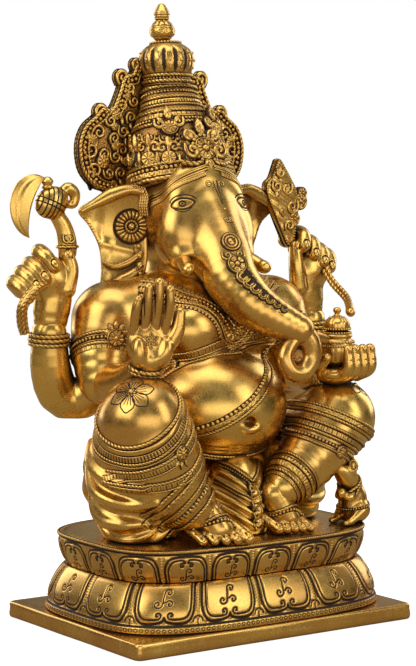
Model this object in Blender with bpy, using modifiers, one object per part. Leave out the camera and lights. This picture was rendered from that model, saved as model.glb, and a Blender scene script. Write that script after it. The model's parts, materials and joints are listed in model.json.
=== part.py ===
"""Seated brass Ganesha on a two-tier lotus pedestal, built as the separate castings it is assembled from.

Frame: +Z up, the idol faces -Y, its right hand is at -X. The origin is the centre of the plinth's
underside. Sizes are in millimetres and become metres through MM. The figure is modelled at the height
MODEL_HEIGHT above the deck and takes FIGURE_HEIGHT by the ratio K, with the seat following it.
"""

import math

import bmesh
import bpy
from mathutils import Matrix, Vector

MM = 0.001
FIT = 0.35  # clearance between castings that seat on or in each other

# The figure
MODEL_HEIGHT = 449.0
FIGURE_HEIGHT = 449.0
K = FIGURE_HEIGHT / MODEL_HEIGHT
KNEE_HALF_SPAN = 118.0
SEAT_HALF_DEPTH = 80.0
CASTING_WALL = 5.0

# Lotus pedestal: its outline is a superellipse round the seat
LOTUS_SIDE_MARGIN = 10.6
LOTUS_FRONT_MARGIN = 11.0
LOTUS_HALF_WIDTH = KNEE_HALF_SPAN * K + LOTUS_SIDE_MARGIN
LOTUS_HALF_DEPTH = SEAT_HALF_DEPTH * K + LOTUS_FRONT_MARGIN
LOTUS_POWER = 3.5
LOTUS_CENTRE_Y = -4.5
LOTUS_WALL = 5.0
LOTUS_SEGMENTS = 40
DECK_THICKNESS = 6.0
LOWER_TIER_HEIGHT = 39.2
UPPER_TIER_HEIGHT = 27.6
# How far the wall stands out from the deck's outline, by share of the tier's height
LOWER_PROFILE = [(8.6, 0.0), (7.8, 0.28), (5.8, 0.54), (2.4, 0.78), (-5.5, 1.0)]
UPPER_PROFILE = [(-7.0, 0.0), (-3.6, 0.17), (-0.6, 0.55), (0.0, 1.0)]

# Plinth
PLINTH_SIDE_MARGIN = 12.4
PLINTH_FRONT_MARGIN = 13.0
PLINTH_THICKNESS = 13.8
PLINTH_CORNER = 5.0
PLINTH_HALF_WIDTH = LOTUS_HALF_WIDTH + PLINTH_SIDE_MARGIN
PLINTH_HALF_DEPTH = LOTUS_HALF_DEPTH + PLINTH_FRONT_MARGIN

WAIST_Z = PLINTH_THICKNESS + LOWER_TIER_HEIGHT
DECK_Z = WAIST_Z + UPPER_TIER_HEIGHT
SEAT_Z = DECK_Z + FIT

# Fasteners
TIE_SCREW_INSET_X = 36.0
TIE_SCREW_INSET_Y = 34.0
TIE_SCREW_RADIUS = 3.0
TIE_HEAD_RADIUS = 5.5
TIE_HEAD_HEIGHT = 4.0
COUNTERBORE_DEPTH = 6.0
TIE_BOSS_RADIUS = 8.5
TIE_BOSS_CLEARANCE = 3.0
STUD_X = 50.0 * K
STUD_Y = 38.0 * K
STUD_RADIUS = 4.0
STUD_ENGAGEMENT = 16.0
NUT_RADIUS = 7.5
NUT_HEIGHT = 6.5
WASHER_RADIUS = 9.0
WASHER_THICKNESS = 1.6
MOUSE_INSET = 17.6
MOUSE_X = LOTUS_HALF_WIDTH - MOUSE_INSET
MOUSE_Y = -58.0 * K
MOUSE_SCREW_RADIUS = 2.5
MOUSE_SCREW_HEAD = 3.0
MOUSE_SCREW_ENGAGEMENT = 8.0
SMALL_RADIUS = 9.0
FLAT_ANGLE = 0.4
CROWN_LEAN = 14.0
CROWN_DEPTH = 0.76
CAP_LEAN = 4.0

BRASS = (0.62, 0.42, 0.14, 1.0)
ANTIQUE = (0.48, 0.31, 0.10, 1.0)
STEEL = (0.55, 0.55, 0.56, 1.0)
RIGHT, LEFT = -1, 1
SIDES = ((RIGHT, "right"), (LEFT, "left"))


# ---------------------------------------------------------------- scene and materials


def clear_scene():
    for obj in list(bpy.data.objects):
        bpy.data.objects.remove(obj, do_unlink=True)


def make_collection(name):
    collection = bpy.data.collections.new(name)
    bpy.context.scene.collection.children.link(collection)
    return collection


def metal(name, colour, roughness):
    material = bpy.data.materials.new(name)
    material.use_nodes = True
    shader = material.node_tree.nodes["Principled BSDF"]
    shader.inputs["Base Color"].default_value = colour
    shader.inputs["Metallic"].default_value = 1.0
    shader.inputs["Roughness"].default_value = roughness
    material.diffuse_color = colour
    return material


# ---------------------------------------------------------------- mesh helpers


def new_object(name, data):
    obj = bpy.data.objects.new(name, data)
    WORK.objects.link(obj)
    return obj


def face_outward(bm):
    """Every face outward, and in triangles so that each one is truly flat."""
    bmesh.ops.recalc_face_normals(bm, faces=bm.faces)
    bmesh.ops.triangulate(bm, faces=bm.faces)
    if bm.calc_volume(signed=True) < 0:
        bmesh.ops.reverse_faces(bm, faces=bm.faces)


def from_bmesh(name, bm):
    face_outward(bm)
    mesh = bpy.data.meshes.new(name)
    bm.to_mesh(mesh)
    bm.free()
    return new_object(name, mesh)


def mesh_of(obj):
    """The evaluated object as a plain mesh object, with a curve's caps welded on."""
    bpy.context.view_layer.update()
    graph = bpy.context.evaluated_depsgraph_get()
    mesh = bpy.data.meshes.new_from_object(obj.evaluated_get(graph))
    made = new_object(obj.name, mesh)
    made.matrix_world = obj.matrix_world
    bpy.data.objects.remove(obj, do_unlink=True)
    bm = bmesh.new()
    bm.from_mesh(mesh)
    bmesh.ops.remove_doubles(bm, verts=bm.verts, dist=0.02 * MM)
    bmesh.ops.dissolve_degenerate(bm, edges=bm.edges, dist=0.01 * MM)
    bmesh.ops.dissolve_limit(bm, angle_limit=math.radians(FLAT_ANGLE), verts=bm.verts, edges=bm.edges)
    face_outward(bm)
    bm.to_mesh(mesh)
    bm.free()
    return made


def without_offcuts(obj):
    """The piece without the slivers that a cut separates from it."""
    bm = bmesh.new()
    bm.from_mesh(obj.data)
    loose = set(bm.verts)
    bodies = []
    while loose:
        front = [loose.pop()]
        body = set(front)
        while front:
            vertex = front.pop()
            near = {edge.other_vert(vertex) for edge in vertex.link_edges} & loose
            loose -= near
            body |= near
            front.extend(near)
        bodies.append(body)
    main = max(bodies, key=len)
    bmesh.ops.delete(bm, geom=[v for v in bm.verts if v not in main], context="VERTS")
    bm.to_mesh(obj.data)
    bm.free()
    return obj


def combine(operation, host, others):
    """host with the others joined to it or cut from it."""
    for other in others:
        modifier = host.modifiers.new("boolean", "BOOLEAN")
        modifier.operation = operation
        modifier.solver = "EXACT"
        modifier.use_self = True
        modifier.object = other
        host = mesh_of(host)
        bpy.data.objects.remove(other, do_unlink=True)
    return host


def union(*shapes):
    return combine("UNION", shapes[0], shapes[1:])


def cut(host, *cutters):
    return combine("DIFFERENCE", host, cutters)


def grown(obj, by=FIT):
    """A copy whose surface stands out by that much, to cut a clearance with."""
    bm = bmesh.new()
    bm.from_mesh(obj.data)
    bm.normal_update()
    moves = [v.normal * by * MM for v in bm.verts]
    for vertex, move in zip(bm.verts, moves):
        vertex.co += move
    return from_bmesh("clearance", bm)


def clear_of(host, *neighbours):
    """host cut back from its neighbours, so that they meet with the clearance FIT."""
    return without_offcuts(combine("DIFFERENCE", host, [grown(n) for n in neighbours]))


# ---------------------------------------------------------------- shapes in the machine-made parts' frame


def cylinder(base, radius, height, segments=24):
    bm = bmesh.new()
    bmesh.ops.create_cone(
        bm, cap_ends=True, segments=segments, radius1=radius * MM, radius2=radius * MM, depth=height * MM
    )
    bm.transform(Matrix.Translation((base[0] * MM, base[1] * MM, (base[2] + height / 2) * MM)))
    return from_bmesh("cylinder", bm)


def box(low, high, corner=0.0):
    bm = bmesh.new()
    bmesh.ops.create_cube(bm, size=1.0)
    low, high = Vector(low), Vector(high)
    bm.transform(Matrix.Translation((low + high) / 2 * MM) @ Matrix.Diagonal([*((high - low) * MM), 1.0]))
    if corner:
        upright = [e for e in bm.edges if abs(e.verts[0].co.z - e.verts[1].co.z) > 1e-6]
        bmesh.ops.bevel(bm, geom=upright, offset=corner * MM, segments=4, profile=0.5, affect="EDGES")
    return from_bmesh("box", bm)


# ---------------------------------------------------------------- shapes in the figure's frame


def placed(point):
    """A point of the figure, whose height is above the seat, in the whole idol's frame."""
    return Vector((point[0] * K * MM, point[1] * K * MM, (point[2] * K + SEAT_Z) * MM))


def turn_matrix(turn):
    spin = Matrix.Rotation(math.radians(turn[2]), 4, "Z")
    spin @= Matrix.Rotation(math.radians(turn[1]), 4, "Y")
    spin @= Matrix.Rotation(math.radians(turn[0]), 4, "X")
    return spin


def blob(centre, radii, turn=(0.0, 0.0, 0.0), segments=14, rings=8):
    """An ellipsoid; turn is in degrees about X, Y and Z."""
    bm = bmesh.new()
    bmesh.ops.create_uvsphere(bm, u_segments=segments, v_segments=rings, radius=1.0)
    size = Matrix.Diagonal([*(r * K * MM for r in radii), 1.0])
    bm.transform(Matrix.Translation(placed(centre)) @ turn_matrix(turn) @ size)
    return from_bmesh("blob", bm)


def smooth_path(knots, steps):
    """Points (x, y, z, radius) on a smooth curve through the knots, steps of them for each span."""
    first = 2 * Vector(knots[0]) - Vector(knots[1])
    last = 2 * Vector(knots[-1]) - Vector(knots[-2])
    ends = [first, *map(Vector, knots), last]
    path = []
    for before, a, b, after in zip(ends, ends[1:], ends[2:], ends[3:]):
        for i in range(steps):
            t = i / steps
            bend = (2 * before - 5 * a + 4 * b - after) * t**2 + (3 * a - before - 3 * b + after) * t**3
            path.append(a + 0.5 * ((b - before) * t + bend))
    return [*path, Vector(knots[-1])]


def dome_stations(point, outward):
    """Shrinking stations past a limb's end, so that the end is rounded."""
    steps = 1 if point[3] < SMALL_RADIUS else 2
    stations = []
    for i in range(1, steps + 1):
        angle = math.radians(70) * i / steps
        place = point.to_3d() + outward * point[3] * math.sin(angle)
        stations.append(Vector((*place, point[3] * math.cos(angle))))
    return stations


def limb(knots, sides=10, steps=2):
    """A tapering tube with rounded ends through (x, y, z, radius) knots, as a bevelled curve."""
    path = smooth_path([Vector(knot) for knot in knots], steps)
    start = dome_stations(path[0], (path[0] - path[1]).to_3d().normalized())
    end = dome_stations(path[-1], (path[-1] - path[-2]).to_3d().normalized())
    path = [*start[::-1], *path, *end]
    curve = bpy.data.curves.new("limb", "CURVE")
    curve.dimensions = "3D"
    curve.bevel_depth = MM
    curve.bevel_resolution = sides // 2 - 2
    curve.use_fill_caps = True
    spline = curve.splines.new("POLY")
    spline.points.add(len(path) - 1)
    for point, place in zip(spline.points, path):
        point.co = (*placed(place), 1.0)
        point.radius = place[3] * K
    return mesh_of(new_object("limb", curve))


def turned(profile, foot, segments=20, lean=0.0, depth=1.0):
    """A turned solid on an axis through foot, leaning back; profile is (radius, height) from its top down.

    With a depth under 1 it is flattened front to back by that ratio."""
    mesh = bpy.data.meshes.new("profile")
    points = [(r * K * MM, 0.0, z * K * MM) for r, z in profile]
    mesh.from_pydata(points, [(i, i + 1) for i in range(len(points) - 1)], [])
    obj = new_object("turned", mesh)
    screw = obj.modifiers.new("turn", "SCREW")
    screw.axis = "Z"
    screw.steps = segments
    screw.render_steps = segments
    screw.use_merge_vertices = True
    screw.merge_threshold = 0.00001
    obj = mesh_of(obj)
    upright = Matrix.Rotation(math.radians(-lean), 4, "X") @ Matrix.Diagonal((1, depth, 1, 1))
    obj.data.transform(Matrix.Translation(placed(foot)) @ upright)
    return obj


def plate(outline, thickness, y, heading=0.0, lean=0.0):
    """A flat plate from its (x, z) outline round the first point, turned about it by heading and lean."""
    pivot = outline[0]
    curve = bpy.data.curves.new("plate", "CURVE")
    curve.dimensions = "2D"
    curve.fill_mode = "BOTH"
    curve.extrude = thickness / 2 * K * MM
    spline = curve.splines.new("POLY")
    spline.points.add(len(outline) - 2)
    spline.use_cyclic_u = True
    for point, (x, z) in zip(spline.points, outline[1:]):
        point.co = ((x - pivot[0]) * K * MM, (z - pivot[1]) * K * MM, 0.0, 1.0)
    obj = mesh_of(new_object("plate", curve))
    turn = turn_matrix((90 - lean, 0, heading))
    obj.data.transform(Matrix.Translation(placed((pivot[0], y, pivot[1]))) @ turn)
    return obj


def to_side(side, points):
    """Points written for the left side (+X), on the side asked for."""
    return [(side * point[0], *point[1:]) for point in points]


def seated(shape):
    """A shape of the figure cut off level where it sits on the deck."""
    reach = 400 * K
    return cut(shape, box((-reach, -reach, DECK_Z - reach), (reach, reach, SEAT_Z)))


def finish(obj, name, material, sharp=35.0):
    """The finished piece: its own name, material, shading and an origin at its middle."""
    low = Vector([min(v.co[i] for v in obj.data.vertices) for i in range(3)])
    high = Vector([max(v.co[i] for v in obj.data.vertices) for i in range(3)])
    middle = (low + high) / 2
    obj.data.transform(Matrix.Translation(-middle))
    obj.location = middle
    obj.name = name
    obj.data.name = name
    obj.data.materials.clear()
    obj.data.materials.append(material)
    obj.data.shade_smooth()
    obj.data.set_sharp_from_angle(angle=math.radians(sharp))
    WORK.objects.unlink(obj)
    PARTS.objects.link(obj)
    obj.parent = ROOT
    return obj


# ---------------------------------------------------------------- pedestal


def superellipse(offset, z):
    a, b = LOTUS_HALF_WIDTH + offset, LOTUS_HALF_DEPTH + offset
    points = []
    for i in range(LOTUS_SEGMENTS):
        angle = 2 * math.pi * i / LOTUS_SEGMENTS
        c, s = math.cos(angle), math.sin(angle)
        x = a * math.copysign(abs(c) ** (2 / LOTUS_POWER), c)
        y = b * math.copysign(abs(s) ** (2 / LOTUS_POWER), s)
        points.append(Vector((x, y + LOTUS_CENTRE_Y, z)) * MM)
    return points


def lotus_loft(stations, solid):
    """Skin through outlines of (offset, z): a solid with closed ends, or a wall whose last joins its first."""
    bm = bmesh.new()
    rings = [[bm.verts.new(p) for p in superellipse(offset, z)] for offset, z in stations]
    pairs = list(zip(rings, rings[1:])) + ([] if solid else [(rings[-1], rings[0])])
    for lower, upper in pairs:
        for i in range(LOTUS_SEGMENTS):
            j = (i + 1) % LOTUS_SEGMENTS
            bm.faces.new((lower[i], lower[j], upper[j], upper[i]))
    if solid:
        bm.faces.new(rings[0][::-1])
        bm.faces.new(rings[-1])
    return from_bmesh("lotus", bm)


def tier_stations(profile, foot, top):
    return [(offset, foot + share * (top - foot)) for offset, share in profile]


def tie_screw_places():
    reach_x = LOTUS_HALF_WIDTH - TIE_SCREW_INSET_X
    reach_y = LOTUS_HALF_DEPTH - TIE_SCREW_INSET_Y
    return [(x * reach_x, y * reach_y + LOTUS_CENTRE_Y) for x in (-1, 1) for y in (-1, 1)]


def make_plinth():
    body = box(
        (-PLINTH_HALF_WIDTH, -PLINTH_HALF_DEPTH, 0),
        (PLINTH_HALF_WIDTH, PLINTH_HALF_DEPTH, PLINTH_THICKNESS),
        corner=PLINTH_CORNER,
    )
    for x, y in tie_screw_places():
        through = cylinder((x, y, -1), TIE_SCREW_RADIUS + FIT, PLINTH_THICKNESS + 2, 12)
        counterbore = cylinder((x, y, -1), TIE_HEAD_RADIUS + FIT, COUNTERBORE_DEPTH + 1, 16)
        body = cut(body, union(through, counterbore))
    return body


def make_lower_tier():
    outer = tier_stations(LOWER_PROFILE, PLINTH_THICKNESS + FIT, WAIST_Z)
    inner = [(offset - LOTUS_WALL, z) for offset, z in outer[::-2]]
    return lotus_loft(outer + inner, solid=False)


def make_upper_tier():
    foot = WAIST_Z + FIT
    under = DECK_Z - DECK_THICKNESS
    body = lotus_loft(tier_stations(UPPER_PROFILE, foot, DECK_Z), solid=True)
    hollow = [(UPPER_PROFILE[0][0] - LOTUS_WALL, foot - 1), (UPPER_PROFILE[2][0] - LOTUS_WALL, under)]
    body = cut(body, lotus_loft(hollow, solid=True))
    boss_foot = foot + TIE_BOSS_CLEARANCE
    for x, y in tie_screw_places():
        boss = cylinder((x, y, boss_foot), TIE_BOSS_RADIUS, DECK_Z - 1 - boss_foot, 16)
        thread = cylinder((x, y, boss_foot - 1), TIE_SCREW_RADIUS + FIT, under - boss_foot + 1, 12)
        body = union(body, cut(boss, thread))
    for side, _ in SIDES:
        stud_hole = cylinder((side * STUD_X, STUD_Y, under - 1), STUD_RADIUS + FIT, DECK_THICKNESS + 2, 16)
        body = cut(body, stud_hole)
    return body


def make_tie_screw(x, y):
    head_z = COUNTERBORE_DEPTH - FIT - TIE_HEAD_HEIGHT
    tip_z = DECK_Z - DECK_THICKNESS - 2
    head = cylinder((x, y, head_z), TIE_HEAD_RADIUS, TIE_HEAD_HEIGHT, 12)
    return union(head, cylinder((x, y, head_z + 1), TIE_SCREW_RADIUS, tip_z - head_z - 1, 12))


def make_stud(side):
    foot = DECK_Z - DECK_THICKNESS - WASHER_THICKNESS - NUT_HEIGHT - 3
    return cylinder((side * STUD_X, STUD_Y, foot), STUD_RADIUS, SEAT_Z + STUD_ENGAGEMENT - foot, 16)


def stud_ring(side, top, height, radius, segments):
    """A washer or nut on a stud, with a clearance hole."""
    x, y = side * STUD_X, STUD_Y
    ring = cylinder((x, y, top - height), radius, height, segments)
    return cut(ring, cylinder((x, y, top - height - 1), STUD_RADIUS + FIT, height + 2, 16))


# ---------------------------------------------------------------- body, legs and feet


def make_torso():
    """Belly, chest and shoulders in one casting, open underneath, with a solid pad over each stud."""
    body = blob((0, -6, 108), (61, 56, 48), segments=18, rings=10)
    body = union(body, blob((0, 14, 168), (66, 42, 50), segments=16, rings=8))
    body = union(body, limb([(-78, 27, 182, 27), (0, 24, 190, 32), (78, 27, 182, 27)], sides=12))
    body = union(body, blob((0, 30, 38), (98, 48, 50), segments=18, rings=8))
    cavity = blob((0, -4, 108), (60 - CASTING_WALL, 54 - CASTING_WALL, 48 - CASTING_WALL))
    cavity = union(cavity, blob((0, 16, 165), (55 - CASTING_WALL, 36 - CASTING_WALL, 46 - CASTING_WALL)))
    cavity = union(cavity, blob((0, 12, 20), (38, 44 - CASTING_WALL, 64)))
    body = cut(seated(body), cavity)
    for side, _ in SIDES:
        hole = cylinder((side * STUD_X, STUD_Y, SEAT_Z - 1), STUD_RADIUS + FIT, STUD_ENGAGEMENT + 2, 12)
        body = cut(body, hole)
    return body


def make_leg(side):
    """Thigh out to the knee and shin down to the ankle; the right one carries the fall of the robe."""
    if side == RIGHT:
        knee = [(-104, -58, 104, 35), (-96, -56, 78, 39), (-84, -56, 54, 35), (-62, -63, 34, 22)]
        leg = limb(knee, sides=14)
        leg = union(leg, limb([(-82, 14, 46, 28), (-90, -14, 66, 32), (-100, -48, 88, 34)], sides=12))
        leg = union(leg, blob((-70, -8, 30), (34, 42, 40)))
        return cut(leg, blob((-78, -22, 14), (31 - CASTING_WALL, 35 - CASTING_WALL, 100 - CASTING_WALL)))
    leg = limb([(101, -50, 90, 31), (80, -52, 74, 29), (54, -56, 52, 24), (32, -60, 36, 16)], sides=12)
    leg = union(leg, limb([(78, 14, 52, 28), (92, -20, 76, 31), (102, -44, 90, 30)], sides=12))
    leg = union(leg, blob((78, 6, 24), (32, 32, 36)))
    return cut(leg, blob((82, 2, 10), (30 - CASTING_WALL, 30 - CASTING_WALL, 84 - CASTING_WALL)))


def make_foot(side):
    """Instep, sole and five toes."""
    if side == RIGHT:
        heel, ball, heading = (-56, -68, 30, 13), (-46, -80, 12, 12), -18
        first, last = (-63, -80), (-29, -94)
        toe_step = (1.5, -9.0)
    else:
        heel, ball, heading = (24, -60, 32, 13), (34, -66, 12, 11), -12
        first, last = (22, -68), (50, -76)
        toe_step = (5.0, -8.0)
    foot = limb([heel, ball], steps=2)
    foot = union(foot, blob((ball[0], ball[1], 8), (20, 13, 9), turn=(0, 0, heading), segments=12, rings=6))
    for i in range(5):
        t = i / 4
        x, y = first[0] + (last[0] - first[0]) * t, first[1] + (last[1] - first[1]) * t
        radius = 4.4 + 0.35 * i if side == RIGHT else 5.6 - 0.35 * i
        root = (x - toe_step[0], y - toe_step[1], 9, radius)
        foot = union(foot, limb([root, (x, y, radius + 0.6, radius)], sides=6, steps=1))
    return seated(foot)


def make_sash():
    """The pleated end of the robe hanging between the feet."""
    sash = limb([(0, -38, 48, 17), (2, -44, 30, 19), (4, -46, 8, 20)])
    return seated(union(sash, blob((3, -34, 26), (32, 15, 38))))


# ---------------------------------------------------------------- arms and hands


def make_upper_arm(side):
    return limb(to_side(side, [(88, 27, 176, 24), (96, 22, 152, 22), (98, 16, 130, 18)]), sides=12)


def make_front_forearm(side):
    if side == RIGHT:
        return limb([(-98, 6, 126, 16), (-99, -22, 132, 14.5), (-99, -48, 144, 12.5)])
    return limb([(98, 6, 126, 16), (97, -22, 128, 14), (94, -46, 133, 12)])


def make_rear_forearm(side):
    knots = [(102, 32, 116, 16), (114, 42, 117, 17), (127, 42, 136, 17), (135, 38, 168, 15)]
    return limb(to_side(side, knots))


def make_blessing_hand():
    hand = blob((-100, -60, 166), (16, 9, 23), turn=(0, 0, -20))
    palm_side = Vector((math.cos(math.radians(-20)), math.sin(math.radians(-20)), 0))
    for offset, top, radius in ((-11.5, 208, 4.2), (-4.0, 217, 4.6), (4.0, 220, 4.8), (11.5, 214, 4.6)):
        root = Vector((-100, -60, 178)) + palm_side * offset
        tip = Vector((-100, -61, top - radius)) + palm_side * offset * 0.95
        hand = union(hand, limb([(*root, radius + 0.6), (*tip, radius)], sides=6, steps=1))
    return union(hand, limb([(-90, -62, 160, 7), (-79, -66, 176, 6), (-77, -66, 190, 4.6)], sides=6, steps=1))


def make_bowl_hand():
    """A cupped hand, its fingers up round the far side of the bowl."""
    hand = blob((92, -58, 131), (20, 16, 8))
    for offset in (0.0, 8.0, 16.0, 24.0):
        knots = [(86 + offset, -66, 129, 5.6), (90 + offset, -76, 137, 5.3), (90 + offset, -76, 152, 4.8)]
        hand = union(hand, limb(knots, sides=6, steps=1))
    return union(hand, limb([(78, -54, 132, 6.5), (71, -64, 140, 5.2)], sides=6, steps=1))


def make_rear_hand(side):
    """A fist on its wrist, four curled fingers towards the outside and the thumb up."""
    hand = limb(to_side(side, [(135, 38, 176, 14), (133, 38, 196, 18), (130, 36, 214, 15)]))
    if side == RIGHT:
        knuckles = [(-142, 236), (-151, 226), (-159, 219), (-166, 211)]
        thumb = [(-124, 30, 206, 8), (-120, 30, 222, 6.5), (-122, 30, 234, 5)]
    else:
        knuckles = [(124, 247), (135, 239), (145, 232), (153, 227)]
        thumb = [(118, 30, 200, 8), (115, 30, 220, 7), (115, 32, 236, 5.5)]
    for x, z in knuckles:
        finger = [(x - side * 8, 46, z - 4, 7), (x, 38, z, 6.6), (x - side * 2, 26, z - 8, 6)]
        hand = union(hand, limb(finger, sides=6, steps=1))
    return union(hand, limb(thumb, sides=6, steps=1))


# ---------------------------------------------------------------- what the hands hold


def make_axe():
    """Curved haft, lattice hub with its knob and scroll, and a crescent blade."""
    haft = limb([(-121, 36, 226, 6.5), (-120, 36, 246, 9), (-124, 36, 262, 8), (-132, 36, 276, 7)], sides=8)
    axe = union(haft, blob((-134, 36, 278), (16, 9, 13), turn=(0, -25, 0)))
    axe = union(axe, turned([(0, 20), (4, 17), (7.5, 9), (7.5, 4), (6, 0), (0, 0)], (-138, 36, 287), 12))
    axe = union(axe, limb([(-124, 36, 286, 5), (-117, 36, 289, 5.5), (-113, 36, 276, 4.5)], sides=8))
    blade = [(-150, 275)]
    horns = ((-154.5, 296), (-138, 251.5))
    for i in range(11):
        angle = math.radians(72 + 17 * i)
        blade.append((-150 + 21.5 * math.cos(angle), 274.5 + 24 * math.sin(angle)))
    for i in range(6):
        t = (i + 1) / 7
        bow = 10 * math.sin(math.pi * t)
        x = horns[1][0] + (horns[0][0] - horns[1][0]) * t - bow * 0.1
        z = horns[1][1] + (horns[0][1] - horns[1][1]) * t
        blade.append((x - bow, z))
    crescent = plate([(-150, 275), *blade[1:]], 5, 36)
    return union(axe, crescent)


def make_axe_tassel():
    path = [(-150, 24, 210, 5), (-165, 24, 203, 5), (-170, 26, 188, 5.5), (-166, 28, 172, 5)]
    return limb(path, sides=8)


def make_noose():
    """The noose bound up as an ornate plume: a leaf with scrolls down its outer side."""
    plume = [(112, 236), (108, 236), (102, 248), (92, 266), (84, 284), (84, 294), (91, 299), (96, 312)]
    plume += [(102, 308), (112, 297), (118, 284), (119, 270), (117, 252), (114, 238)]
    noose = plate(plume, 12, 36)
    noose = union(noose, blob((122, 36, 276.5), (8.5, 5, 8.5), segments=10, rings=6))
    return union(noose, blob((115, 36, 261), (7, 5, 7), segments=10, rings=6))


def make_noose_tail():
    path = [(142, 24, 216, 4.5), (141, 8, 202, 4.5), (141, -12, 190, 4.5), (128, -32, 182, 4.2)]
    return limb(path, sides=8)


def make_bowl():
    profile = [(9.5, 20), (12.5, 18), (12.5, 15.5), (15.5, 9), (15.5, 3), (11, -6), (6, -9), (0, -9)]
    return turned([(0, 20), *profile], (90, -62, 146))


def make_bowl_lid():
    profile = [(0, 21.5), (3.2, 20), (3.2, 17), (2.2, 15.5), (8, 12), (11, 8), (11, 3), (7.5, 0), (0, 0)]
    return turned(profile, (90, -62, 166.4 + FIT / K))


# ---------------------------------------------------------------- head


def make_head():
    skull = blob((0, 38, 262), (47, 44, 46), segments=18, rings=12)
    skull = union(skull, blob((0, 14, 260), (38, 25, 34)))
    skull = union(skull, blob((0, 3, 240), (37, 20, 24)))
    skull = union(skull, limb([(0, 36, 232, 34), (0, 34, 206, 36)], sides=12, steps=1))
    return cut(skull, limb([(0, 40, 256, 33 - CASTING_WALL), (0, 34, 170, 31 - CASTING_WALL)], sides=12, steps=1))


def make_trunk():
    """From the brow down across the chest, towards the bowl."""
    knots = [(0, 2, 264, 21), (0, -17, 238, 22.5), (0, -32, 214, 21), (10, -49, 193, 17.5)]
    return limb([*knots, (27, -61, 180, 14), (43, -69, 171, 11)], sides=12)


def make_trunk_curl():
    """The trunk's end, a ring that turns back on itself so that its tip meets the bowl."""
    knots = [(47, -71, 162, 10), (53, -73, 148, 8.6), (45, -74, 135, 7.8), (32, -73, 136, 7.2)]
    knots += [(27, -71, 149, 6.8), (36, -70, 161, 6.4), (50, -70, 166, 6), (69, -69, 161, 5)]
    return limb(knots, sides=8)


def make_ear(side):
    """A broad flap swept back from the head, thicker at its rolled rim."""
    outline = [(44, 254), (46, 214), (58, 217), (72, 220), (84, 232), (90, 262), (92, 276), (78, 286)]
    outline += [(62, 290), (48, 286)]
    sweep = 32
    stretched = [(side * (44 + (x - 44) / math.cos(math.radians(sweep))), z) for x, z in outline]
    ear = plate([(side * 44, 254), *stretched[1:], stretched[0]], 7, 32, heading=side * sweep)
    rim = [(48, 34, 285, 5), (66, 45, 291, 6), (90, 60, 274, 5), (86, 58, 240, 4.5), (70, 48, 222, 5)]
    rim += [(50, 35, 217, 5)]
    return union(ear, limb(to_side(side, rim), sides=6, steps=2))


def make_tusk(side):
    return limb(to_side(side, [(27, 0, 233, 6.5), (34, -12, 228, 6), (38, -22, 222, 5)]), sides=8, steps=1)


# ---------------------------------------------------------------- crown


def make_crown_band():
    """The diadem: an oval drum leaning back that seats over the top of the head, with three domed jewels."""
    profile = [(0, 90), (24, 90), (27, 78), (34, 60), (42, 40), (47, 20), (49, 6), (49, 0), (0, 0)]
    band = turned(profile, (0, 41, 289), segments=24, lean=CROWN_LEAN, depth=CROWN_DEPTH)
    jewels = blob((0, 13, 345), (11, 7, 14))
    for side, _ in SIDES:
        jewels = union(jewels, blob((side * 26, 22, 346), (17, 8, 13)))
    return union(band, jewels)


def make_crown_cap():
    profile = [(0, 37.6), (12, 37), (21, 31), (24, 22), (23, 12), (19, 4), (21, 0), (0, 0)]
    return turned(profile, (-3, 60, 377.5), segments=20, lean=CAP_LEAN)


def make_crown_finial():
    profile = [(0, 35), (4, 31), (7, 26), (5, 22), (5.5, 20), (10.5, 14), (11, 8), (6, 2), (7, 0), (0, 0)]
    return turned(profile, (-5, 64, 414), segments=12, lean=CAP_LEAN)


def make_halo():
    """The pierced-work back plate of the crown, with scrolled shoulders."""
    half = [(58, 286), (72, 292), (84, 306), (86, 325), (80, 341), (68, 352), (61, 359), (52, 358)]
    half += [(44, 374), (38, 386), (30, 388), (26, 396), (14, 402)]
    outline = half + [(-x, z) for x, z in half[::-1]]
    return plate([(0, 340), *outline], 7, 75)


# ---------------------------------------------------------------- mouse


def make_mouse():
    """The mouse sits over its screw, so its points are measured from there."""
    x, y = MOUSE_X / K, MOUSE_Y / K
    mouse = blob((x, y, 22), (13, 16, 20), turn=(0, -15, 0), segments=12)
    neck = [(x - 6, y - 6, 36, 8.5), (x - 14, y - 8, 44, 9.5), (x - 25, y - 11, 49, 3.6)]
    mouse = union(mouse, limb(neck, sides=8, steps=1))
    for offset in (-7, 7):
        mouse = union(mouse, blob((x - 8, y - 7 + offset, 51), (5, 3.2, 5), segments=8, rings=6))
        arm = [(x - 7, y - 2 + offset, 29, 4.5), (x - 17, y - 6 + offset * 0.6, 26, 3.4)]
        mouse = union(mouse, limb(arm, sides=6, steps=1))
        foot = [(x - 5, y + offset * 1.3, 8, 6), (x - 13, y - 4 + offset * 1.3, 4.5, 4.2)]
        mouse = union(mouse, limb(foot, sides=6, steps=1))
    tail = [(x + 9, y + 6, 9, 4), (x + 13, y + 14, 4, 3), (x + 3, y + 18, 3.4, 2.6)]
    mouse = seated(union(mouse, limb(tail, sides=6)))
    hole = cylinder((MOUSE_X, MOUSE_Y, SEAT_Z - 1), MOUSE_SCREW_RADIUS + FIT, MOUSE_SCREW_ENGAGEMENT + 2, 12)
    return cut(mouse, hole)


def make_mouse_screw():
    head_z = DECK_Z - DECK_THICKNESS - FIT - MOUSE_SCREW_HEAD
    head = cylinder((MOUSE_X, MOUSE_Y, head_z), MOUSE_SCREW_RADIUS * 1.8, MOUSE_SCREW_HEAD, 12)
    shank_top = SEAT_Z + MOUSE_SCREW_ENGAGEMENT
    return union(head, cylinder((MOUSE_X, MOUSE_Y, head_z + 1), MOUSE_SCREW_RADIUS, shank_top - head_z - 1, 12))


# ---------------------------------------------------------------- assembly


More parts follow.
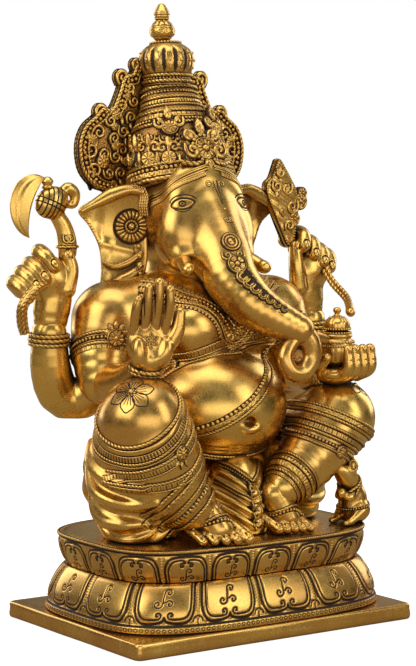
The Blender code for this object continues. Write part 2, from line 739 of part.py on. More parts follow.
clear_scene()
PARTS = make_collection("ganesha_idol")
WORK = make_collection("workshop")
ROOT = bpy.data.objects.new("ganesha_idol_origin", None)
PARTS.objects.link(ROOT)
POLISHED = metal("polished_brass", BRASS, 0.2)
CHASED = metal("antiqued_brass", ANTIQUE, 0.34)
ZINC = metal("zinc_plated_steel", STEEL, 0.35)

pieces = {
    "plinth_plate": make_plinth(),
    "lotus_lower_tier": make_lower_tier(),
    "lotus_upper_tier": make_upper_tier(),
}
for number, (screw_x, screw_y) in enumerate(tie_screw_places(), 1):
    pieces[f"tie_screw_{number}"] = make_tie_screw(screw_x, screw_y)
for side, word in SIDES:
    washer_top = DECK_Z - DECK_THICKNESS - FIT
    nut_top = washer_top - WASHER_THICKNESS - FIT
    pieces[f"figure_stud_{word}"] = make_stud(side)
    pieces[f"stud_washer_{word}"] = stud_ring(side, washer_top, WASHER_THICKNESS, WASHER_RADIUS, 20)
    pieces[f"stud_nut_{word}"] = stud_ring(side, nut_top, NUT_HEIGHT, NUT_RADIUS, 6)
    pieces[f"{word}_leg"] = seated(make_leg(side))
    pieces[f"{word}_foot"] = make_foot(side)
    pieces[f"{word}_upper_arm"] = make_upper_arm(side)
    pieces[f"{word}_front_forearm"] = make_front_forearm(side)
    pieces[f"{word}_rear_forearm"] = make_rear_forearm(side)
    pieces[f"{word}_rear_hand"] = make_rear_hand(side)
    pieces[f"{word}_ear"] = make_ear(side)
    pieces[f"{word}_tusk"] = make_tusk(side)
pieces["torso"] = make_torso()
pieces["front_sash"] = make_sash()
pieces["blessing_hand"] = make_blessing_hand()
pieces["bowl_hand"] = make_bowl_hand()
pieces["battle_axe"] = make_axe()
pieces["axe_tassel"] = make_axe_tassel()
pieces["noose"] = make_noose()
pieces["noose_tail"] = make_noose_tail()
pieces["sweets_bowl"] = make_bowl()
pieces["bowl_lid"] = make_bowl_lid()
pieces["head"] = make_head()
pieces["trunk"] = make_trunk()
pieces["trunk_curl"] = make_trunk_curl()
pieces["crown_band"] = make_crown_band()
pieces["crown_cap"] = make_crown_cap()
pieces["crown_finial"] = make_crown_finial()
pieces["halo_plate"] = make_halo()
pieces["mouse"] = make_mouse()
pieces["mouse_screw"] = make_mouse_screw()

# Each host is cut back from the pieces that seat in it, in this order
SEATS = [
    ("right_ear", ["torso"]),
    ("left_ear", ["torso"]),
    ("right_front_forearm", ["blessing_hand"]),
    ("left_front_forearm", ["bowl_hand", "sweets_bowl"]),
    ("right_leg", ["torso", "right_foot", "right_front_forearm"]),
    ("left_leg", ["torso", "left_foot", "left_front_forearm", "mouse"]),
    ("front_sash", ["torso", "right_leg", "left_leg", "right_foot", "left_foot"]),
    ("right_upper_arm", ["right_front_forearm"]),
    ("left_upper_arm", ["left_front_forearm"]),
    ("right_rear_forearm", ["right_rear_hand", "right_upper_arm", "right_front_forearm"]),
    ("left_rear_forearm", ["left_rear_hand", "left_upper_arm", "left_front_forearm"]),
    ("torso", ["right_upper_arm", "left_upper_arm", "right_front_forearm", "left_front_forearm"]),
    ("torso", ["right_rear_forearm", "left_rear_forearm"]),
    ("right_rear_hand", ["battle_axe", "axe_tassel"]),
    ("left_rear_hand", ["noose", "noose_tail"]),
    ("bowl_hand", ["sweets_bowl"]),
    ("trunk", ["trunk_curl", "torso"]),
    ("trunk_curl", ["torso"]),
    ("crown_cap", ["crown_finial"]),
    ("head", ["torso", "trunk", "right_tusk", "left_tusk", "right_ear", "left_ear", "crown_band"]),
    ("crown_band", ["right_ear", "left_ear", "crown_cap"]),
    ("halo_plate", ["crown_band", "crown_cap", "crown_finial", "head"]),
    ("lotus_upper_tier", ["mouse_screw"]),
]
for host, inserted in SEATS:
    pieces[host] = clear_of(pieces[host], *(pieces[name] for name in inserted))

ANTIQUED = {"lotus_lower_tier", "lotus_upper_tier", "front_sash", "halo_plate", "crown_band", "crown_cap"}
for name, piece in pieces.items():
    steel = name.startswith(("tie_screw", "figure_stud", "stud_", "mouse_screw"))
    finish(piece, name, ZINC if steel else CHASED if name in ANTIQUED else POLISHED)
bpy.data.collections.remove(WORK)
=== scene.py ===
"""Looks of the brass Ganesha idol: sculpted castings, chased ornament, brass, studio light and camera.

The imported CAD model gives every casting's place. This script replaces the plain castings with modelled
ones. Lengths are in millimetres and become metres when a mesh is made. Points of the figure are (x, y, z)
with z above the seat, the deck on which the figure sits, as in the CAD model. Smooth castings are signed
distance fields meshed through OpenVDB; ornament is laid on them along routes that are snapped to their
surface.
"""

import json
import math

import bpy
import numpy as np
import openvdb
from mathutils import Matrix, Quaternion, Vector
from mathutils.bvhtree import BVHTree

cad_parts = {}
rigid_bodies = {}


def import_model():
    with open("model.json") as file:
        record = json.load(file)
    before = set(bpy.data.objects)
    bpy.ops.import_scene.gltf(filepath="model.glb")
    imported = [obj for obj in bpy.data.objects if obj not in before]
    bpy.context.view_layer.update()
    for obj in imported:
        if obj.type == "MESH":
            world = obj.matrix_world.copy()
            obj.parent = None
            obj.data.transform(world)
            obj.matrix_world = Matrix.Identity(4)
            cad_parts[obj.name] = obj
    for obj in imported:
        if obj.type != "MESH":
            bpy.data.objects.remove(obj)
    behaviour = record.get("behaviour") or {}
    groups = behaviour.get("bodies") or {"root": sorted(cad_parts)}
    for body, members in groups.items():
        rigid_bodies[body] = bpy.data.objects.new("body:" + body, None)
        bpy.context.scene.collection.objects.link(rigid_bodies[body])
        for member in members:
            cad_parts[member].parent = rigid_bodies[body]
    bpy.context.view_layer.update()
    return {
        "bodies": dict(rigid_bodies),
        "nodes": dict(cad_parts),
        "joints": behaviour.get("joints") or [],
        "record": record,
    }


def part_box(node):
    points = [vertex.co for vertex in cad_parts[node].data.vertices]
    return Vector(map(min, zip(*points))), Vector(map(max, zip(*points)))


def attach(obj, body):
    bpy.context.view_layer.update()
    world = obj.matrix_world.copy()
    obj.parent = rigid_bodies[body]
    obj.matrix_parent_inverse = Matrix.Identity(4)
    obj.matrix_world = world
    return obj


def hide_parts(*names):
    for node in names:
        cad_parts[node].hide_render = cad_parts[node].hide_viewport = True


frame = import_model()

MM = 0.001
RIGHT, LEFT = -1, 1
TAU = 2 * math.pi


def node_box(node):
    low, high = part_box(node)
    return np.array(low) / MM, np.array(high) / MM


PLINTH_LOW, PLINTH_HIGH = node_box("plinth_plate")
LOWER_LOW, LOWER_HIGH = node_box("lotus_lower_tier")
UPPER_LOW, UPPER_HIGH = node_box("lotus_upper_tier")
DECK_Z = UPPER_HIGH[2]
SEAT_GAP = 0.35  # between the deck and the figure, as in the CAD model
SEAT_Z = DECK_Z + SEAT_GAP
_, FINIAL_HIGH = node_box("crown_finial")
WRITTEN_HEIGHT = 449.0  # height of the figure that the points in this file are written for
K = (FINIAL_HIGH[2] - SEAT_Z) / WRITTEN_HEIGHT


# ---------------------------------------------------------------- small vector helpers


def vec(*values):
    return np.array(values, dtype=np.float64)


def unit(v):
    v = np.asarray(v, dtype=np.float64)
    return v / np.maximum(np.linalg.norm(v, axis=-1, keepdims=True), 1e-9)


def turn(x=0.0, y=0.0, z=0.0):
    """Rotation matrix from degrees about X, then Y, then Z."""
    spin = Matrix.Rotation(math.radians(z), 3, "Z")
    spin @= Matrix.Rotation(math.radians(y), 3, "Y")
    spin @= Matrix.Rotation(math.radians(x), 3, "X")
    return np.array(spin)


def smooth_path(knots, spacing):
    """Catmull-Rom curve through knots of any width, at an even spacing over its first three columns."""
    knots = np.asarray(knots, dtype=np.float64)
    ends = np.vstack([2 * knots[0] - knots[1], knots, 2 * knots[-1] - knots[-2]])
    t = np.linspace(0, 1, 24, endpoint=False)[:, None]
    spans = []
    for before, a, b, after in zip(ends, ends[1:], ends[2:], ends[3:]):
        bend = (2 * before - 5 * a + 4 * b - after) * t**2 + (3 * a - before - 3 * b + after) * t**3
        spans.append(a + 0.5 * ((b - before) * t + bend))
    fine = np.vstack([*spans, knots[-1:]])
    return resample(fine, spacing)


def run_along(points):
    """Length of the way from the first point to each point."""
    return np.concatenate([[0], np.cumsum(np.linalg.norm(np.diff(points, axis=0), axis=1))])


def resample(points, spacing):
    run = run_along(points[:, :3])
    count = max(2, int(round(run[-1] / spacing)) + 1)
    places = np.linspace(0, run[-1], count)
    return np.stack([np.interp(places, run, column) for column in points.T], axis=1)


def to_side(side, knots):
    """Knots written for the figure's left (+X), on the side asked for."""
    return [(side * knot[0], *knot[1:]) for knot in knots]


# ---------------------------------------------------------------- clay: signed distance fields


class Clay:
    """A voxel field of signed distance in millimetres, built up and carved with smooth blends."""

    def __init__(self, low, high, voxel):
        self.voxel = voxel * 1.0
        self.low = np.asarray(low, dtype=np.float64)
        shape = np.ceil((np.asarray(high) - self.low) / self.voxel).astype(int) + 1
        self.far = 4 * self.voxel
        self.field = np.full(shape, self.far, dtype=np.float32)

    def window(self, low, high, margin):
        """Slices of the field round a box, and the coordinates of its voxels."""
        shape = np.array(self.field.shape)
        first = np.clip(np.floor((np.asarray(low) - margin - self.low) / self.voxel).astype(int), 0, shape)
        last = np.clip(
            np.ceil((np.asarray(high) + margin - self.low) / self.voxel).astype(int) + 1, 0, shape
        )
        axes = [
            (self.low[i] + self.voxel * np.arange(first[i], last[i])).astype(np.float32) for i in range(3)
        ]
        x, y, z = np.meshgrid(*axes, indexing="ij", sparse=True)
        return tuple(slice(a, b) for a, b in zip(first, last)), (x, y, z)

    def merge(self, window, distance, blend, carve=False):
        region = self.field[window]
        other = -distance if carve else distance
        sign = -1.0 if carve else 1.0
        a, b = sign * region, sign * other
        overlap = np.maximum(blend - np.abs(a - b), 0.0)
        self.field[window] = sign * (np.minimum(a, b) - overlap * overlap / (4 * max(blend, 1e-3)))

    def ball(self, centre, radii, spin=None, blend=3.0, carve=False):
        """An ellipsoid, with its axes turned by spin."""
        centre = vec(*centre)
        radii = vec(*radii)
        reach = np.abs(spin) @ radii if spin is not None else radii
        margin = blend + self.far
        window, (x, y, z) = self.window(centre - reach, centre + reach, margin)
        p = [x - centre[0], y - centre[1], z - centre[2]]
        if spin is not None:
            p = [spin[0, i] * p[0] + spin[1, i] * p[1] + spin[2, i] * p[2] for i in range(3)]
        near = sum((q / r) ** 2 for q, r in zip(p, radii))
        slope = sum((q / (r * r)) ** 2 for q, r in zip(p, radii))
        length = np.sqrt(near)
        distance = length * (length - 1) / np.maximum(np.sqrt(slope), 1e-5)
        self.merge(window, distance.astype(np.float32), blend, carve)

    def limb(self, knots, blend=3.0, carve=False, squash=None, spacing=None):
        """A tapering tube through (x, y, z, radius) knots.

        squash is (direction, ratio): the tube is thinner by that ratio along the direction."""
        radius = float(np.min([k[3] for k in knots]))
        path = smooth_path(knots, spacing or max(radius * 0.6, 1.5))
        if squash is not None:
            axis, ratio = unit(squash[0]), squash[1]
            stretch = np.eye(3) + (1 / ratio - 1) * np.outer(axis, axis)
        margin = blend + self.far
        low = path[:, :3].min(0) - path[:, 3].max()
        high = path[:, :3].max(0) + path[:, 3].max()
        window, (x, y, z) = self.window(low, high, margin)
        shape = np.broadcast_shapes(x.shape, y.shape, z.shape)
        if 0 in shape:
            return
        best = np.full(shape, 1e3, dtype=np.float32)
        origin = [w.start for w in window]
        for a, b in zip(path[:-1], path[1:]):
            r = max(a[3], b[3])
            sub, (sx, sy, sz) = self.window(
                np.minimum(a[:3], b[:3]) - r, np.maximum(a[:3], b[:3]) + r, margin
            )
            inner = tuple(slice(s.start - o, s.stop - o) for s, o in zip(sub, origin))
            if min(s.stop - s.start for s in sub) <= 0:
                continue
            p = [sx - a[0], sy - a[1], sz - a[2]]
            d = b[:3] - a[:3]
            if squash is not None:
                d = stretch @ d
                p = [sum(stretch[i, j] * p[j] for j in range(3)) for i in range(3)]
            t = np.clip((p[0] * d[0] + p[1] * d[1] + p[2] * d[2]) / max(d @ d, 1e-6), 0, 1)
            gap = np.sqrt(sum((p[i] - t * d[i]) ** 2 for i in range(3)))
            distance = gap - (a[3] + (b[3] - a[3]) * t)
            if squash is not None:
                distance = distance * (0.5 + 0.5 * ratio)
            best[inner] = np.minimum(best[inner], distance)
        self.merge(window, best, blend, carve)

    def above(self, z_floor):
        """Cut off level at a height."""
        z = self.low[2] + self.voxel * np.arange(self.field.shape[2])
        self.field = np.maximum(self.field, (z_floor - z)[None, None, :].astype(np.float32))

    def surface(self, relax=2):
        """Points and quads of the surface, relaxed a little to lose the voxel steps."""
        grid = openvdb.FloatGrid(background=self.far)
        field = np.clip(self.field, -self.far, self.far)
        for axis in range(3):
            edge = [slice(None)] * 3
            for end in (0, -1):
                edge[axis] = end
                field[tuple(edge)] = self.far
        grid.copyFromArray(field, tolerance=0.0)
        points, quads = grid.convertToQuads(isovalue=0.0)
        points = points.astype(np.float64) * self.voxel + self.low
        quads = quads.astype(np.int64)
        for _ in range(relax):
            points = relaxed(points, quads)
        return points, quads


def relaxed(points, quads, pull=0.6):
    """Each point moved towards the mean of its neighbours."""
    first = quads.ravel()
    second = np.roll(quads, -1, axis=1).ravel()
    total = np.zeros_like(points)
    for i in range(3):
        total[:, i] = np.bincount(first, points[second, i], len(points))
        total[:, i] += np.bincount(second, points[first, i], len(points))
    count = np.bincount(first, minlength=len(points)) + np.bincount(second, minlength=len(points))
    mean = total / np.maximum(count, 1)[:, None]
    return points + pull * (mean - points)


# ---------------------------------------------------------------- castings: meshes gathered from pieces


class Casting:
    """Vertices and faces gathered from many shapes, with a height share over the ground by which the brass
    paints low places dark as patina and painted shade.
    """

    def __init__(self):
        self.points, self.height, self.faces = [], [], {3: [], 4: []}
        self.count = 0

    def add(self, points, faces, height=1.0):
        faces = np.asarray(faces)
        self.points.append(np.asarray(points, dtype=np.float64))
        self.height.append(np.broadcast_to(np.asarray(height, dtype=np.float64), (len(points),)))
        self.faces[faces.shape[1]].append(faces + self.count)
        self.count += len(points)

    def piece(self, name, material, slot="polished_brass", replaces=(), angle=None):
        """The gathered mesh as an object that rides on the idol."""
        points = np.vstack(self.points) * MM
        groups = {n: np.vstack(f) for n, f in self.faces.items() if f}
        mesh = bpy.data.meshes.new(name)
        loops = np.concatenate([g.ravel() for g in groups.values()])
        sizes = np.concatenate([np.full(len(g), n) for n, g in groups.items()])
        starts = np.concatenate([[0], np.cumsum(sizes)[:-1]])
        mesh.vertices.add(len(points))
        mesh.vertices.foreach_set("co", points.astype(np.float32).ravel())
        mesh.loops.add(len(loops))
        mesh.loops.foreach_set("vertex_index", loops.astype(np.int32))
        mesh.polygons.add(len(sizes))
        mesh.polygons.foreach_set("loop_start", starts.astype(np.int32))
        mesh.update(calc_edges=True)
        # relief: the share by which the brass darkens a point, as patina and painted shade on low places.
        relief = mesh.attributes.new("relief", "FLOAT", "POINT")
        relief.data.foreach_set("value", np.concatenate(self.height).astype(np.float32))
        mesh.shade_smooth()
        if angle is not None:
            mesh.set_sharp_from_angle(angle=math.radians(angle))
        mesh.materials.append(material)
        obj = bpy.data.objects.new(name, mesh)
        bpy.context.scene.collection.objects.link(obj)
        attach(obj, "root")
        if replaces:
            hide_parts(*replaces)
        return obj


# ---------------------------------------------------------------- materials


class Nodes:
    """A short way to wire a shader."""

    def __init__(self, name):
        self.material = bpy.data.materials.new(name)
        self.material.use_nodes = True
        self.tree = self.material.node_tree
        self.tree.nodes.clear()

    def add(self, kind, **settings):
        node = self.tree.nodes.new(kind)
        for key, value in settings.items():
            if key in node.inputs:
                node.inputs[key].default_value = value
            else:
                setattr(node, key, value)
        return node

    def link(self, output, target):
        self.tree.links.new(output, target)

    def noise(self, coordinates, scale, detail=3.0, roughness=0.5):
        node = self.add("ShaderNodeTexNoise", Scale=scale, Detail=detail, Roughness=roughness)
        self.link(coordinates, node.inputs["Vector"])
        return node.outputs["Fac"]

    def ramp(self, value, low, high, start=0.0, end=1.0):
        node = self.add("ShaderNodeMapRange", clamp=True, interpolation_type="SMOOTHSTEP")
        node.inputs["From Min"].default_value = low
        node.inputs["From Max"].default_value = high
        node.inputs["To Min"].default_value = start
        node.inputs["To Max"].default_value = end
        self.link(value, node.inputs["Value"])
        return node.outputs["Result"]

    def maths(self, operation, a, b=None, clamp=False):
        node = self.add("ShaderNodeMath", operation=operation, use_clamp=clamp)
        for index, value in enumerate((a, b)):
            if value is None:
                continue
            if isinstance(value, (int, float)):
                node.inputs[index].default_value = value
            else:
                self.link(value, node.inputs[index])
        return node.outputs[0]

    def mix(self, factor, a, b):
        node = self.add("ShaderNodeMix", data_type="RGBA")
        for socket, value in ((node.inputs[0], factor), (node.inputs[6], a), (node.inputs[7], b)):
            if isinstance(value, (tuple, float, int)):
                socket.default_value = value
            else:
                self.link(value, socket)
        return node.outputs[2]


GOLD = (0.72, 0.455, 0.115, 1.0)
GOLD_PALE = (0.84, 0.62, 0.24, 1.0)
COPPER = (0.50, 0.235, 0.065, 1.0)
# Near-black brown of the recesses: patina, and painted shade where occlusion and low relief darken the
# colour.
PATINA_AND_SHADE = (0.040, 0.020, 0.007, 1.0)


def brass(
    name,
    roughness=0.2,
    patina_and_shade_reach=2.2,
    patina_and_shade_strength=1.0,
    tarnish=0.35,
    stipple=0.0,
    tint=GOLD,
    wave=0.25,
):
    """Polished cast brass: golden on the high places, a dark brown in the recesses that is partly patina and
    partly painted shade, a warm tarnish.
    """
    n = Nodes(name)
    place = n.add("ShaderNodeTexCoord").outputs["Object"]
    broad = n.noise(place, 14.0, 2.0)
    mottle = n.noise(place, 70.0, 4.0, 0.6)
    fine = n.noise(place, 420.0, 3.0, 0.6)

    # Painted shade: an ambient occlusion node darkens places that nearby surfaces close in, and this also
    # stands for the patina held in the hollows.
    occlusion_shade = n.add("ShaderNodeAmbientOcclusion", samples=5, inside=False, only_local=False)
    occlusion_shade.inputs["Distance"].default_value = patina_and_shade_reach * MM
    open_share = n.ramp(occlusion_shade.outputs["AO"], 0.28, 0.92)
    # The relief attribute of each mesh darkens its low places: patina and painted shade.
    relief = n.add("ShaderNodeAttribute", attribute_name="relief").outputs["Fac"]
    ground = n.ramp(relief, 0.12, 0.80)
    clear_of_patina_and_shade = n.maths("MULTIPLY", open_share, ground)
    clear_and_worn = n.maths("ADD", clear_of_patina_and_shade, n.ramp(mottle, 0.35, 0.75, -0.16, 0.10), clamp=True)
    # dark is the share of patina and painted shade; it also roughens the brass and makes it less metallic.
    dark = n.maths("MULTIPLY", n.maths("SUBTRACT", 1.0, clear_and_worn, clamp=True), patina_and_shade_strength, clamp=True)

    warm = n.mix(n.ramp(broad, 0.34, 0.70, 0.0, tarnish), tint, COPPER)
    pale = n.mix(n.ramp(mottle, 0.52, 0.80, 0.0, 0.35), warm, GOLD_PALE)
    # A copper tint where the patina and painted shade begin.
    copper_shade_rim = n.ramp(dark, 0.06, 0.45)
    edge = n.mix(n.maths("MULTIPLY", copper_shade_rim, 0.55), pale, COPPER)
    colour = n.mix(n.ramp(dark, 0.30, 0.95), edge, PATINA_AND_SHADE)

    gloss = n.maths(
        "ADD",
        n.ramp(mottle, 0.3, 0.75, roughness * 0.75, roughness * 1.25),
        n.ramp(fine, 0.3, 0.8, 0.0, 0.07),
    )
    rough = n.maths("ADD", gloss, n.maths("MULTIPLY", dark, 0.34), clamp=True)

    height = n.maths("ADD", n.maths("MULTIPLY", broad, 0.35), n.maths("MULTIPLY", mottle, 0.10))
    bump = n.add("ShaderNodeBump", Strength=wave, Distance=0.0006)
    n.link(height, bump.inputs["Height"])
    normal = bump.outputs["Normal"]
    if stipple:
        pits = n.add("ShaderNodeTexVoronoi", Scale=640.0)
        n.link(place, pits.inputs["Vector"])
        punch = n.add("ShaderNodeBump", Strength=stipple, Distance=0.0005)
        n.link(pits.outputs["Distance"], punch.inputs["Height"])
        n.link(normal, punch.inputs["Normal"])
        normal = punch.outputs["Normal"]

    shader = n.add("ShaderNodeBsdfPrincipled", Metallic=1.0)
    n.link(colour, shader.inputs["Base Color"])
    n.link(rough, shader.inputs["Roughness"])
    n.link(normal, shader.inputs["Normal"])
    metal_share = n.ramp(dark, 0.35, 1.0, 1.0, 0.55)
    n.link(metal_share, shader.inputs["Metallic"])
    output = n.add("ShaderNodeOutputMaterial")
    n.link(shader.outputs["BSDF"], output.inputs["Surface"])
    return n.material


def plain_metal(name, colour, roughness):
    n = Nodes(name)
    place = n.add("ShaderNodeTexCoord").outputs["Object"]
    shader = n.add("ShaderNodeBsdfPrincipled", Metallic=1.0)
    shader.inputs["Base Color"].default_value = colour
    n.link(
        n.ramp(n.noise(place, 900.0), 0.3, 0.7, roughness * 0.7, roughness * 1.3),
        shader.inputs["Roughness"],
    )
    output = n.add("ShaderNodeOutputMaterial")
    n.link(shader.outputs["BSDF"], output.inputs["Surface"])
    return n.material


# The reach is how far the occlusion looks for nearby surfaces to paint shade; 6 mm on the skin and 5 mm on
# the plinth paint broad contact shade.
SKIN = brass("polished_skin", roughness=0.24, patina_and_shade_reach=6.0, patina_and_shade_strength=0.9, tarnish=0.5, wave=0.14)
CHASED = brass("chased_ornament", roughness=0.25, patina_and_shade_reach=3.0, tarnish=0.45)
# The punched ground has a darker tint than the raised ornament on it: patina held in the punching, and
# painted shade of the low ground between that ornament.
GROUND = brass(
    "stippled_ground",
    roughness=0.36,
    patina_and_shade_reach=4.5,
    tarnish=0.6,
    stipple=0.9,
    tint=(0.46, 0.265, 0.075, 1.0),
)
PEDESTAL = brass("pedestal_brass", roughness=0.24, patina_and_shade_reach=2.6, tarnish=0.55)
SLAB = brass("plinth_brass", roughness=0.24, patina_and_shade_reach=5.0, patina_and_shade_strength=0.5, tarnish=0.7)
ZINC = plain_metal("zinc_plate", (0.62, 0.62, 0.63, 1.0), 0.3)


# ---------------------------------------------------------------- ornament laid on surfaces


class Surface:
    """A sculpted surface that ornament is snapped to."""

    def __init__(self, points, faces):
        self.tree = BVHTree.FromPolygons(points.tolist(), faces.tolist())

    def snap(self, points):
        """Nearest places on the surface and their outward normals."""
        hits = [self.tree.find_nearest(Vector(p)) for p in np.atleast_2d(points)[:, :3]]
        return np.array([h[0] for h in hits]), np.array([h[1] for h in hits])

    def route(self, knots, spacing=1.0, closed=False):
        """An even route along the surface through places near it."""
        knots = [tuple(k) for k in knots]
        if closed:
            knots = knots[-2:] + knots + knots[:2]
        path = smooth_path(knots, spacing)
        if closed:
            path = closed_part(path, knots[2])
        places, normals = self.snap(path)
        return settle(places, normals, spacing, closed)

    def ring(self, centre, axis, reach, spacing=1.0, away=None):
        """A loop round a limb: where rays towards its middle line first meet the surface."""
        axis = unit(axis)
        side = unit(np.cross(axis, vec(0.31, 0.87, 0.39) if away is None else away))
        other = np.cross(axis, side)
        found = []
        for angle in np.linspace(0, TAU, 96, endpoint=False):
            ray = side * math.cos(angle) + other * math.sin(angle)
            start = vec(*centre) + ray * reach
            place, normal, _, _ = self.tree.ray_cast(Vector(start), Vector(-ray), reach)
            if place is not None:
                found.append((*place, *normal))
        found = np.array(found + found[:1])
        even = resample(found, spacing)[:-1]
        return settle(even[:, :3], even[:, 3:], spacing, True)


def closed_part(path, start):
    """One round of a path that passes its start twice."""
    first = int(np.argmin(np.linalg.norm(path[: len(path) // 2, :3] - vec(*start)[:3], axis=1)))
    rest = np.linalg.norm(path[len(path) // 2 :, :3] - vec(*start)[:3], axis=1)
    last = len(path) // 2 + int(np.argmin(rest))
    return path[first:last]


def settle(places, normals, spacing, closed):
    """Even out a route and smooth its normals."""
    both = np.hstack([places, unit(normals)])
    if closed:
        both = np.vstack([both, both[:1]])
    both = resample(both, spacing)
    if closed:
        both = both[:-1]
    places, normals = both[:, :3], both[:, 3:]
    for _ in range(3):
        if closed:
            places = 0.5 * places + 0.25 * (np.roll(places, 1, 0) + np.roll(places, -1, 0))
            normals = normals + np.roll(normals, 1, 0) + np.roll(normals, -1, 0)
        else:
            places[1:-1] = 0.5 * places[1:-1] + 0.25 * (places[:-2] + places[2:])
            normals[1:-1] = normals[1:-1] + normals[:-2] + normals[2:]
        normals = unit(normals)
    return places, normals


def tangents(path, closed=False):
    if closed:
        return unit(np.roll(path, -1, 0) - np.roll(path, 1, 0))
    return unit(np.gradient(path, axis=0))


def grid_faces(rows, columns, wrap_rows=False, wrap_columns=False):
    """Quads of a grid of points stored row by row."""
    i = np.arange(rows if wrap_rows else rows - 1)
    j = np.arange(columns if wrap_columns else columns - 1)
    i, j = np.meshgrid(i, j, indexing="ij")
    i2, j2 = (i + 1) % rows, (j + 1) % columns
    quads = [i * columns + j, i * columns + j2, i2 * columns + j2, i2 * columns + j]
    return np.stack([q.ravel() for q in quads], axis=1)


def add_rounds(casting, rounds, ends, relief, flip=False):
    """Rounds of points as one closed skin, with a fan to a point at either end."""
    count, columns = rounds.shape[:2]
    total = count * columns
    last = total - columns
    ring = np.arange(columns)
    after = np.roll(ring, -1)
    fans = [
        np.stack([after, ring, np.full(columns, total)], axis=1),
        np.stack([last + ring, last + after, np.full(columns, total + 1)], axis=1),
    ]
    step = -1 if flip else 1
    start = casting.count
    quads = grid_faces(count, columns, False, True)
    casting.add(np.vstack([rounds.reshape(-1, 3), *ends]), quads[:, ::step], relief)
    casting.faces[3] += [fan[:, ::step] + start for fan in fans]


def carried_frames(path, closed=False):
    """Normals and binormals carried along a path without twisting."""
    along = tangents(path, closed)
    normal = np.zeros_like(along)
    start = vec(0, 0, 1) if abs(along[0][2]) < 0.9 else vec(1, 0, 0)
    normal[0] = unit(start - along[0] * (start @ along[0]))
    for i in range(1, len(path)):
        kept = normal[i - 1] - along[i] * (normal[i - 1] @ along[i])
        normal[i] = unit(kept)
    return normal, np.cross(along, normal)


def tube(casting, path, radius, sides=10, closed=False, normals=None, flat=1.0, relief=1.0):
    """A tube of given radius along a path, flattened across the surface where normals are given."""
    path = np.asarray(path)[:, :3]
    radius = np.broadcast_to(np.asarray(radius, dtype=np.float64), (len(path),))
    if normals is None:
        up, across = carried_frames(path, closed)
    else:
        up = normals
        across = unit(np.cross(tangents(path, closed), up))
    angle = np.arange(sides) * TAU / sides
    wave = np.cos(angle)[None, :, None] * up[:, None, :] * flat
    wave = wave + np.sin(angle)[None, :, None] * across[:, None, :]
    points = path[:, None, :] + wave * radius[:, None, None]
    faces = grid_faces(len(path), sides, closed, True)
    points = points.reshape(-1, 3)
    count = len(points)
    if not closed:
        caps = []
        for end, index in ((0, 0), (len(path) - 1, 1)):
            ring = end * sides + np.arange(sides)
            middle = np.full(sides, count + index)
            pair = (ring, np.roll(ring, -1)) if index else (np.roll(ring, -1), ring)
            caps.append(np.stack([pair[0], pair[1], middle], axis=1))
        points = np.vstack([points, path[:1], path[-1:]])
        casting.add(points, faces, relief)
        casting.faces[3].append(np.vstack(caps) + casting.count - len(points))
    else:
        casting.add(points, faces, relief)


def patina_and_shade_line(casting, path, normals, half, closed=False):
    """A dark strip along a route beside raised work and in cut lines: the patina held there and painted shade
    of the crevice.
    """
    side = unit(np.cross(tangents(path, closed), normals))
    across = ((-1.0, -0.5), (-0.85, 0.10), (0.85, 0.10), (1.0, -0.5))
    points = np.stack([path + side * share * half + normals * height for share, height in across], axis=1)
    casting.add(points.reshape(-1, 3), grid_faces(len(path), len(across), closed, False), 0.0)


def inlay(casting, surface, knots, width):
    """A cut line on a surface, drawn as a dark strip of patina and painted shade."""
    path, normals = surface.route(knots, 0.7)
    patina_and_shade_line(casting, path, normals, width / 2)


def rope(casting, path, radius, closed=False, normals=None, strands=2, lay=2.4, sink=0.25):
    """A twisted cord: the section turns as it goes, with a groove between its strands."""
    path = np.asarray(path)[:, :3]
    if normals is not None:
        # A dark strip under the cord: patina and painted shade where it meets the surface.
        patina_and_shade_line(casting, path, normals, radius + 0.85, closed)
        path = path + normals * radius * (1 - 2 * sink)
    pitch = radius * lay * 2
    run = run_along(path)
    length = run[-1]
    turns = max(1, round(length / pitch))
    step = pitch / strands / 6
    path = resample(np.hstack([path, normals]) if normals is not None else path, step)
    if normals is None:
        up, across = carried_frames(path, closed)
    else:
        up = unit(path[:, 3:])
        path = path[:, :3]
        across = unit(np.cross(tangents(path, closed), up))
    sides = 12
    angle = np.arange(sides) * TAU / sides
    place = np.linspace(0, turns * TAU, len(path))
    lobe = np.abs(np.cos(strands / 2 * (angle[None, :] - place[:, None])))
    scale = radius * (0.70 + 0.34 * np.sqrt(lobe))
    wave = np.cos(angle)[None, :, None] * up[:, None, :] + np.sin(angle)[None, :, None] * across[:, None, :]
    points = (path[:, None, :] + wave * scale[..., None]).reshape(-1, 3)
    # The groove between strands gets a low relief share: patina and painted shade.
    relief = np.clip(lobe * 1.5, 0, 1).ravel()
    casting.add(points, grid_faces(len(path), sides, closed, True), relief)


def ball_mesh(segments=8, rings=5):
    polar = np.linspace(0, math.pi, rings + 2)[1:-1]
    turn_by = np.arange(segments) * TAU / segments
    body = [
        [math.sin(p) * math.cos(a), math.sin(p) * math.sin(a), math.cos(p)] for p in polar for a in turn_by
    ]
    points = np.array([[0, 0, 1.0], [0, 0, -1.0], *body])
    quads = grid_faces(rings, segments, False, True) + 2
    ring = np.arange(segments)
    last = 2 + (rings - 1) * segments
    top = np.stack([np.zeros(segments, int), 2 + ring, 2 + np.roll(ring, -1)], axis=1)
    low = np.stack([np.ones(segments, int), last + np.roll(ring, -1), last + ring], axis=1)
    return points, quads[:, ::-1], np.vstack([top, low])


BALL = ball_mesh()


